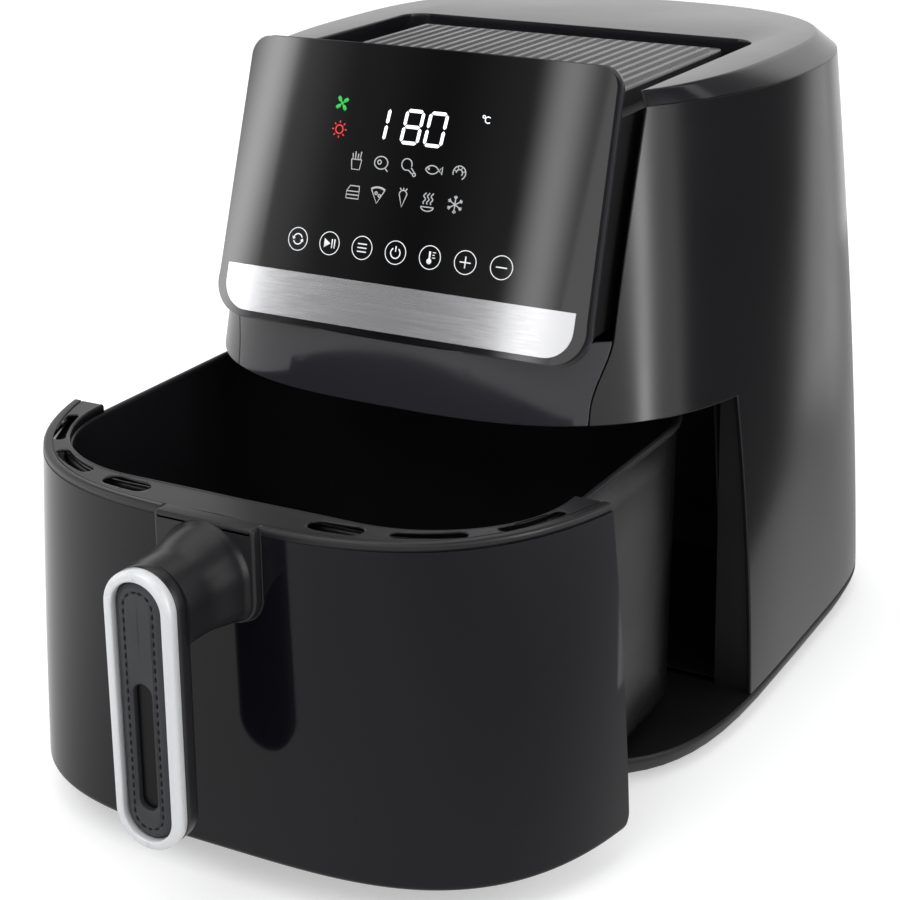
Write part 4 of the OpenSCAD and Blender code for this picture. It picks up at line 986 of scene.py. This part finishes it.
# The drawer's outline at z from the left end round the front to the right, drawn in by inset.
def drawerRow(z, inset=0.0):
    half, front, e = drawerShape(z)
    line = ovalPoints(np.linspace(-math.pi / 2, 0, 2001), half - inset, front - inset, 0.0, e)
    steps = lengths(line)
    right = pick(line, steps, np.linspace(0, np.interp(frontEnd(z), line[:, 1], steps), frontSet["columns"]))
    return atHeight(np.concatenate([mirrored(right), right[1:]]), z)


# Rows of the drawer's outline; the lowest rows draw in on a quarter circle.
def makeFront():
    r, corner, low = frontSet["roundBelow"], frontSet["corner"], drawerSet["foot"] + frontSet["lift"]
    turns = np.linspace(0.25, 1.0, 6) * math.pi / 2
    rows = [drawerRow(low + r * (1 - math.cos(a)), r * (1 - math.sin(a))) for a in turns]
    rows += [drawerRow(z) for z in np.r_[np.linspace(low + r, low + corner, 10)[1:],
                                         np.linspace(low + corner, drawerSet["panTop"] - 0.1, 42)[1:]]]
    front = makePiece("gloss_drawer_front", rows, gridFaces(len(rows), len(rows[0])), glossAbs, "drawer",
                      closed=False, heart=(0, -60, 100))
    thicken(front, drawerSet["thick"], frontSet["edge"])
    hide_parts("drawer_front")


# The drawer's slotted rim; slots are (start, end) in degrees round the front, and the rest is in millimetres.
slotSet = {"border": 4.6, "groove": 0.9, "grooveDeep": 0.7, "edge": 1.6, "innerGap": 0.9, "sunk": 0.25,
           "outerEdge": 1.5, "slots": ((75, 84), (52.5, 70), (27.5, 45)), "slotLow": 0.34, "slotHigh": 0.68,
           "pocket": 7.0, "pocketIn": 1.6, "pocketOut": 3.3, "notch": 26.3, "notchFront": -198.4, "cut": -104.5,
           "panFront": 2.5, "panRound": 0.41, "innerDeep": 3.4, "outerDeep": 3.9, "thick": 1.3, "rows": 330}


# A spot between the pan's edge (t = 0) and the drawer's (t = 1), each a squared oval's quarter, at an angle.
def rimSpot(angle, t):
    s, d = slotSet, drawerSet
    e, panReach = roundness(d["top"]), d["panLength"] / 2 - d["panMiddle"] - s["panFront"]
    x = mix(d["panHalf"] * np.cos(angle) ** s["panRound"], halfWidth(d["top"]) * np.cos(angle) ** e, t)
    y = mix(panReach * np.sin(angle) ** s["panRound"], frontReach(d["top"]) * np.sin(angle) ** e, t)
    return np.stack([x, -y], axis=-1)


# The same angles on the pan's own outline, found along the ray from the pan's middle.
def panEdge(angle):
    pan, middle = panLine(0, 60, 60), np.array([0.0, drawerSet["panMiddle"]])
    ways = np.arctan2(pan[:, 1] - middle[1], pan[:, 0] - middle[0])
    order = np.argsort(ways)
    want = rimSpot(angle, np.zeros(len(angle))) - middle
    reach = np.interp(np.arctan2(want[:, 1], want[:, 0]), ways[order], np.linalg.norm(pan - middle, axis=1)[order])
    return middle + want / np.linalg.norm(want, axis=1, keepdims=True) * reach[:, None]


# The section across the rim, as each column's share of the width and its depth below the top: over a rounded lip,
# along the flat, through the groove and round the outer edge.
def rimSection(width):
    s = slotSet
    lip, flat = s["innerGap"] + s["edge"], np.linspace(0, 1, 27)[1:]
    start, end = lip / width, 1 - (s["border"] + s["groove"]) / width
    section = [((s["innerGap"] + s["edge"] * (1 - math.cos(a))) / width, s["edge"] * (1 - math.sin(a)))
               for a in np.linspace(0, math.pi / 2, 5)]
    section[0] = section[0][0], s["innerDeep"]
    section += [(mix(start, end, k), s["sunk"]) for k in flat]
    section += [(1 - (s["border"] + s["groove"] * off) / width, depth)
                for off, depth in ((0.85, s["grooveDeep"]), (0.25, s["grooveDeep"]), (0.0, 0.1), (-0.35, 0.0))]
    section += [(1 - s["border"] * k / width, 0.0) for k in (0.6, 0.35)]
    section += [(1 - s["outerEdge"] * (1 - math.sin(a)) / width, s["outerEdge"] * (1 - math.cos(a)))
                for a in np.linspace(0, math.pi / 2, 6)]
    section.append((np.ones(len(width)), s["outerDeep"]))
    shares, drops = zip(*section)
    return np.array(shares).T, np.tile(drops, (len(width), 1))


# How far each point lies from the nearest slot, less the slot's half width, and the direction to it. A slot is a
# band with round ends along the middle line between slotLow and slotHigh.
def slotDistance(flat):
    s = slotSet
    distance, nearest = np.full(flat.shape[:2], 99.0), np.zeros(flat.shape)
    for a, b in s["slots"]:
        across = rimSpot(np.radians(np.array([(a + b) / 2])), np.array([s["slotLow"], s["slotHigh"]]))
        radius = np.linalg.norm(across[1] - across[0]) / 2
        line = rimSpot(np.radians(np.linspace(a, b, 80)), np.full(80, (s["slotLow"] + s["slotHigh"]) / 2))
        steps = lengths(line)
        keep = min(radius, steps[-1] / 2 - 0.05)
        line = pick(line, steps, np.linspace(keep, steps[-1] - keep, 60))
        gap = flat[:, :, None] - line[None, None]
        far = np.linalg.norm(gap, axis=3)
        which = np.argmin(far, axis=2)[:, :, None]
        value = np.take_along_axis(far, which, axis=2)[:, :, 0] - radius
        direction = np.take_along_axis(gap, which[:, :, :, None], axis=2)[:, :, 0]
        direction = direction / np.maximum(np.linalg.norm(direction, axis=2, keepdims=True), 1e-6)
        closer = value < distance
        distance = np.where(closer, value, distance)
        nearest = np.where(closer[:, :, None], direction, nearest)
    return distance, nearest


# Rows run round the front and columns from the pan to the drawer's edge. The slots are cut from this grid, its
# points beside each cut are drawn onto it, and the left half mirrors the right.
def makeDrawerRim():
    s, top, count = slotSet, drawerSet["top"], slotSet["rows"]
    # both edges start on the same straight cut beside the mouth and meet the middle together
    fine = np.radians(np.linspace(0, 90, 6001))
    ends = [fine[np.argmax(edge[:, 1] < s["cut"])] for edge in (rimSpot(fine, np.ones(len(fine))), panEdge(fine))]
    t = np.linspace(0, 1, 3001)
    edges = rimSpot(mix(ends[0], math.pi / 2, t), np.ones(len(t))), panEdge(mix(ends[1], math.pi / 2, t))
    steps = lengths((edges[0] + edges[1]) / 2)
    t = np.interp(np.linspace(0, steps[-1], count), steps, t)
    outer, inner = rimSpot(mix(ends[0], math.pi / 2, t), np.ones(count)), panEdge(mix(ends[1], math.pi / 2, t))
    away = outer - inner
    width = np.linalg.norm(away, axis=1)
    away /= width[:, None]
    shares, drop = rimSection(width)
    inner, away, width, shares = [np.concatenate([item[:1], item]) for item in (inner, away, width, shares)]
    drop = np.concatenate([np.full((1, shares.shape[1]), s["pocket"]), drop])   # the cut end turns straight down
    flat = inner[:, None, :] + away[:, None, :] * (shares * width[:, None])[:, :, None]
    faces = gridFaces(*shares.shape)
    distance, nearest = slotDistance(flat)
    gone = distance.reshape(-1)[faces].mean(axis=1) < 0
    notch = ((flat[:, :, 0].reshape(-1)[faces].max(axis=1) < s["notch"])
             & (flat[:, :, 1].reshape(-1)[faces].min(axis=1) < s["notchFront"]))
    kept, lost = np.zeros((2, distance.size), bool)
    kept[faces[~gone].reshape(-1)] = True
    lost[faces[gone].reshape(-1)] = True
    border = (kept & lost).reshape(shares.shape)[:, :, None]
    flat = flat + np.where(border, -distance[:, :, None] * nearest, 0)
    faces = faces[~(gone | notch)]
    right = np.concatenate([flat, (top - drop)[:, :, None]], axis=2).reshape(-1, 3)
    points = np.concatenate([right, right * np.array([-1, 1, 1])])
    rim = makePiece("slotted_rim", points, np.concatenate([faces, faces[:, ::-1] + len(right)]), rimDrawerAbs, "drawer",
                    closed=False, heart=(0, -100, -200), sharp=60)
    thicken(rim, s["thick"])
    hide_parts("drawer_rim")
    # one dark floor under all the slots
    sides = [atHeight(side, top - s["pocket"]) for side in (inner + away * s["pocketIn"],
                                                            inner + away * (width[:, None] - s["pocketOut"]))]
    both = np.array([np.concatenate([side, mirrored(side)[1:]]) for side in sides])
    pockets = makePiece("rim_pockets", both, gridFaces(*both.shape[:2]), deepAbs, "drawer", closed=False,
                        heart=(0, -100, -200))
    thicken(pockets, 1.0)


makeFront()
makeDrawerRim()
print("drawer made")


# Handle: the bracket, the neck and the grip; depths are y from the body's widest line.
bracketSet = {"half": 26.0, "low": 138.0, "high": 184.0, "lowRound": 12.0, "highRound": 2.0, "edge": 1.3, "deep": 8.2,
              "seamIn": 0.3, "seamOut": 1.1, "seamLift": 0.06}
gripSet = {"front": -256.95, "back": -239.95, "root": -205.95, "width": 34.5, "height": 132.0, "middle": 113.0,
           "ring": 6.0, "band": 4.7, "backRound": 4.5, "slotWidth": 9.5, "slotHeight": 60.7, "slotMiddle": 96.4}


# The bracket: a slab standing 4 mm proud of the drawer's front, square above and rounded below. A dark matt line
# just proud of the front runs round its foot: painted shade where the bracket meets the front.
def makeBracket():
    s, root = bracketSet, gripSet["root"]
    half, low, high, r, c = s["half"], s["low"], s["high"], s["lowRound"], s["highRound"]
    outline = np.concatenate([
        arc(-half + r, low + r, r, 180, 270, 17), arc(half - r, low + r, r, 270, 360, 17),
        straight((half, low + r), (half, high - c), 12)[1:], arc(half - c, high - c, c, 0, 90, 7)[1:],
        arc(-half + c, high - c, c, 90, 180, 7), straight((-half, high - c), (-half, low + r), 12)[1:-1]])
    profile = [(3.0, root), (1.6, root)] + [(inset, root + depth) for inset, depth in quarter(s["edge"])[::-1]]
    profile = sorted(profile + [(0, root + s["deep"])], key=lambda p: p[1])
    bracket = makeStack("handle_bracket_plate", alongY(outline, profile), rimDrawerAbs, "drawer", sharp=50)
    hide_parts("handle_bracket")
    rows = []
    for out in (-s["seamIn"], s["seamOut"]):
        x, z = (outline + outlineNormals(outline) * out).T
        reachX, front, e = drawerShape(np.minimum(z, drawerSet["panTop"]))
        y = -front * (1 - np.abs(x / reachX) ** (2 / e)) ** (e / 2) - s["seamLift"]
        rows.append(np.column_stack([x, y, np.minimum(z, high - 0.1)]))
    # a dark band on the front: painted shade for the joint at the bracket's foot
    seam = makePiece("bracket_seam_painted_shade", rows, gridFaces(2, len(outline), closeCols=True), deepAbs, "drawer",
                     closed=False, heart=(0, -60, 100))
    thicken(seam, 0.05)


# The grip's back half: a stadium carried along y, with a small edge behind the ring and a round one at its back.
def makeGrip():
    g = gripSet
    start = g["front"] + g["ring"]
    profile = [(1.2, start), (0.35, start + 0.12), (0.0, start + 0.6), (0.0, start + 3.0), (7.0, g["back"])]
    profile += [(inset, g["back"] - depth) for inset, depth in quarter(g["backRound"], 8)]
    rings = alongY(stadium(g["width"], g["height"], g["middle"]), sorted(set(profile), key=lambda p: p[1]))
    grip = makeStack("grip_back", rings, rimDrawerAbs, "drawer", sharp=50)
    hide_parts("handle_arm")


neckSet = {"radius": 19.25, "low": 143.0, "top": 179.0, "corner": 6.0, "dive": 14.0, "flare": 7.0, "flareOver": 26.0,
           "foot": 2.2, "footOver": 4.0, "bellyHalf": 15.5, "into": 5.0, "rootGap": 0.6}


# The neck is a bar with a half round on top; near the grip its underside dives on a quarter circle, and it
# flares all round where it meets the bracket.
def makeNeck():
    n, back = neckSet, gripSet["back"]
    r, low, c, centre = n["radius"], n["low"], n["corner"], n["top"] - n["radius"]
    section = np.concatenate([
        arc(0, centre, r, 0, 180, 41), straight((-r, centre), (-r, low + c), 8)[1:-1],
        arc(-r + c, low + c, c, 180, 270, 11), straight((-r + c, low), (r - c, low), 22)[1:-1],
        arc(r - c, low + c, c, 270, 360, 11), straight((r, low + c), (r, centre), 8)[1:-1]])
    normals = outlineNormals(section)
    reach = np.clip((section[:, 1] - low) / 6, 0, 1)
    belly = (1 - smoothStep(np.abs(section[:, 0]) / n["bellyHalf"])) * (1 - reach)
    end = gripSet["root"] + n["rootGap"]
    rings = []
    for y in np.r_[np.linspace(back - n["into"], back + 15, 22), np.linspace(back + 15, end, 14)[1:]]:
        d = np.clip((y - back) / n["dive"], 0, 1)
        drop = n["dive"] * (1 - math.sqrt(max(0.0, 1 - (1 - d) ** 2)))
        flare = (n["flare"] * (1 - smoothStep((end - y) / n["flareOver"]))
                 + n["foot"] * (1 - smoothStep((end - y) / n["footOver"])))
        around = section + normals * flare * 0.5
        around[:, 1] -= drop * belly ** 0.5
        rings.append(atDepth(around, y))
    neck = makeStack("handle_neck", rings, rimDrawerAbs, "drawer", sharp=50)


# The bright ring: a rounded band's section carried round the stadium.
def makeRing():
    g = gripSet
    y, t, b = g["front"], g["ring"], g["band"]
    section = [(0.0, y + t - 0.3)] + [(inset, y + depth) for inset, depth in quarter(2.4, 7)[::-1]]
    section += [(3.6, y)] + [(b - inset, y + depth) for inset, depth in quarter(1.0, 4)]
    section += [(b, y + t - 0.3), (b - 0.3, y + t), (0.3, y + t)]
    rings = alongY(stadium(g["width"], g["height"], g["middle"]), section)
    ring = makePiece("silver_grip_ring", rings, gridFaces(*rings.shape[:2], closeRows=True, closeCols=True),
                     silverPaint, "drawer", sharp=50)
    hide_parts("handle_ring")


# Edges are (inset or growth, depth behind the face).
padSet = {"gap": 0.4, "sunk": 1.5, "crown": 0.25,
          "edge": ((0.0, 4.4), (0.0, 2.4), (0.5, 1.7), (1.6, 1.1), (2.8, 0.6), (3.8, 0.15), (4.6, 0.35), (4.9, 0.5),
                   (5.2, 0.35), (5.8, 0.05)),
          "slotEdge": ((1.1, 0.05), (0.5, 0.2), (0.1, 0.6), (0.0, 1.2), (0.0, 3.3), (3.0, 3.6))}
stitchSet = {"inset": 4.9, "long": 2.7, "pitch": 4.1, "wide": 0.75, "sunk": 0.35, "arch": 0.42, "dip": 0.12,
             "flat": 0.8, "along": 7, "round": 6}


# The padded face: a crowned slab between the ring and the slot, with a sunk line where the stitches run. Each
# stitch is a small spindle along that line, its ends dipping into the pad.
def makePad():
    g, p, s = gripSet, padSet, stitchSet
    outline = stadium(*[g[side] - 2 * g["band"] - p["gap"] for side in ("width", "height")], g["middle"])
    slot = stadium(g["slotWidth"], g["slotHeight"], g["slotMiddle"])
    face = g["front"] + p["sunk"]
    n1, n2 = outlineNormals(outline), outlineNormals(slot)
    rows = [atDepth(outline - n1 * inset, face + depth) for inset, depth in p["edge"]]
    last, first = outline - n1 * p["edge"][-1][0], slot + n2 * p["slotEdge"][0][0]
    rows += [atDepth(mix(last, first, t), face - p["crown"] * math.sin(math.pi * t))
             for t in np.linspace(0, 1, 12)[1:-1]]
    rows += [atDepth(slot + n2 * grow, face + depth) for grow, depth in p["slotEdge"]]
    pad = makePiece("leatherette_pad", rows, gridFaces(len(rows), len(outline), closeRows=True, closeCols=True),
                    leatherette, "drawer", sharp=60)
    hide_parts("handle_insert")
    line = outline - n1 * s["inset"]
    line = np.concatenate([line, line[:1]])
    steps = lengths(line)
    count = int(round(steps[-1] / s["pitch"]))
    along = np.linspace(-0.5, 0.5, s["along"])
    at = (np.arange(count)[:, None] + 0.5) * steps[-1] / count + along[None, :] * s["long"]
    path = pick(line, steps, at.reshape(-1) % steps[-1]).reshape(count, s["along"], 2)
    tangent = np.gradient(path, axis=1)
    tangent /= np.linalg.norm(tangent, axis=2, keepdims=True)
    side = np.stack([-tangent[:, :, 1], tangent[:, :, 0]], axis=-1)
    around = np.linspace(0, 2 * math.pi, s["round"] + 1)[:-1][None, None, :]
    fat = (s["wide"] / 2 * np.sqrt(np.maximum(1 - (along * 2) ** 4, 0.02)))[None, :, None]
    lift = (s["arch"] * (1 - (along * 2) ** 2) - s["dip"])[None, :, None]
    x, z = [path[:, :, None, k] + side[:, :, None, k] * (np.cos(around) * fat) for k in (0, 1)]
    y = np.broadcast_to(face + s["sunk"] - lift - s["flat"] * np.sin(around) * fat, x.shape)
    size = s["along"] * s["round"]
    starts = np.arange(count)[:, None] * size
    faces = (gridFaces(s["along"], s["round"], closeCols=True)[None] + starts[:, :, None]).reshape(-1, 4)
    ends = np.arange(s["round"])
    caps = np.stack([starts + ends, starts + size - s["round"] + ends], axis=1).reshape(-1, s["round"])
    thread = makePiece("stitched_thread", np.stack([x, y, z], axis=-1), faces, stitchThread, "drawer", caps)


makeBracket()
makeGrip()
makeNeck()
makeRing()
makePad()
print("handle made")
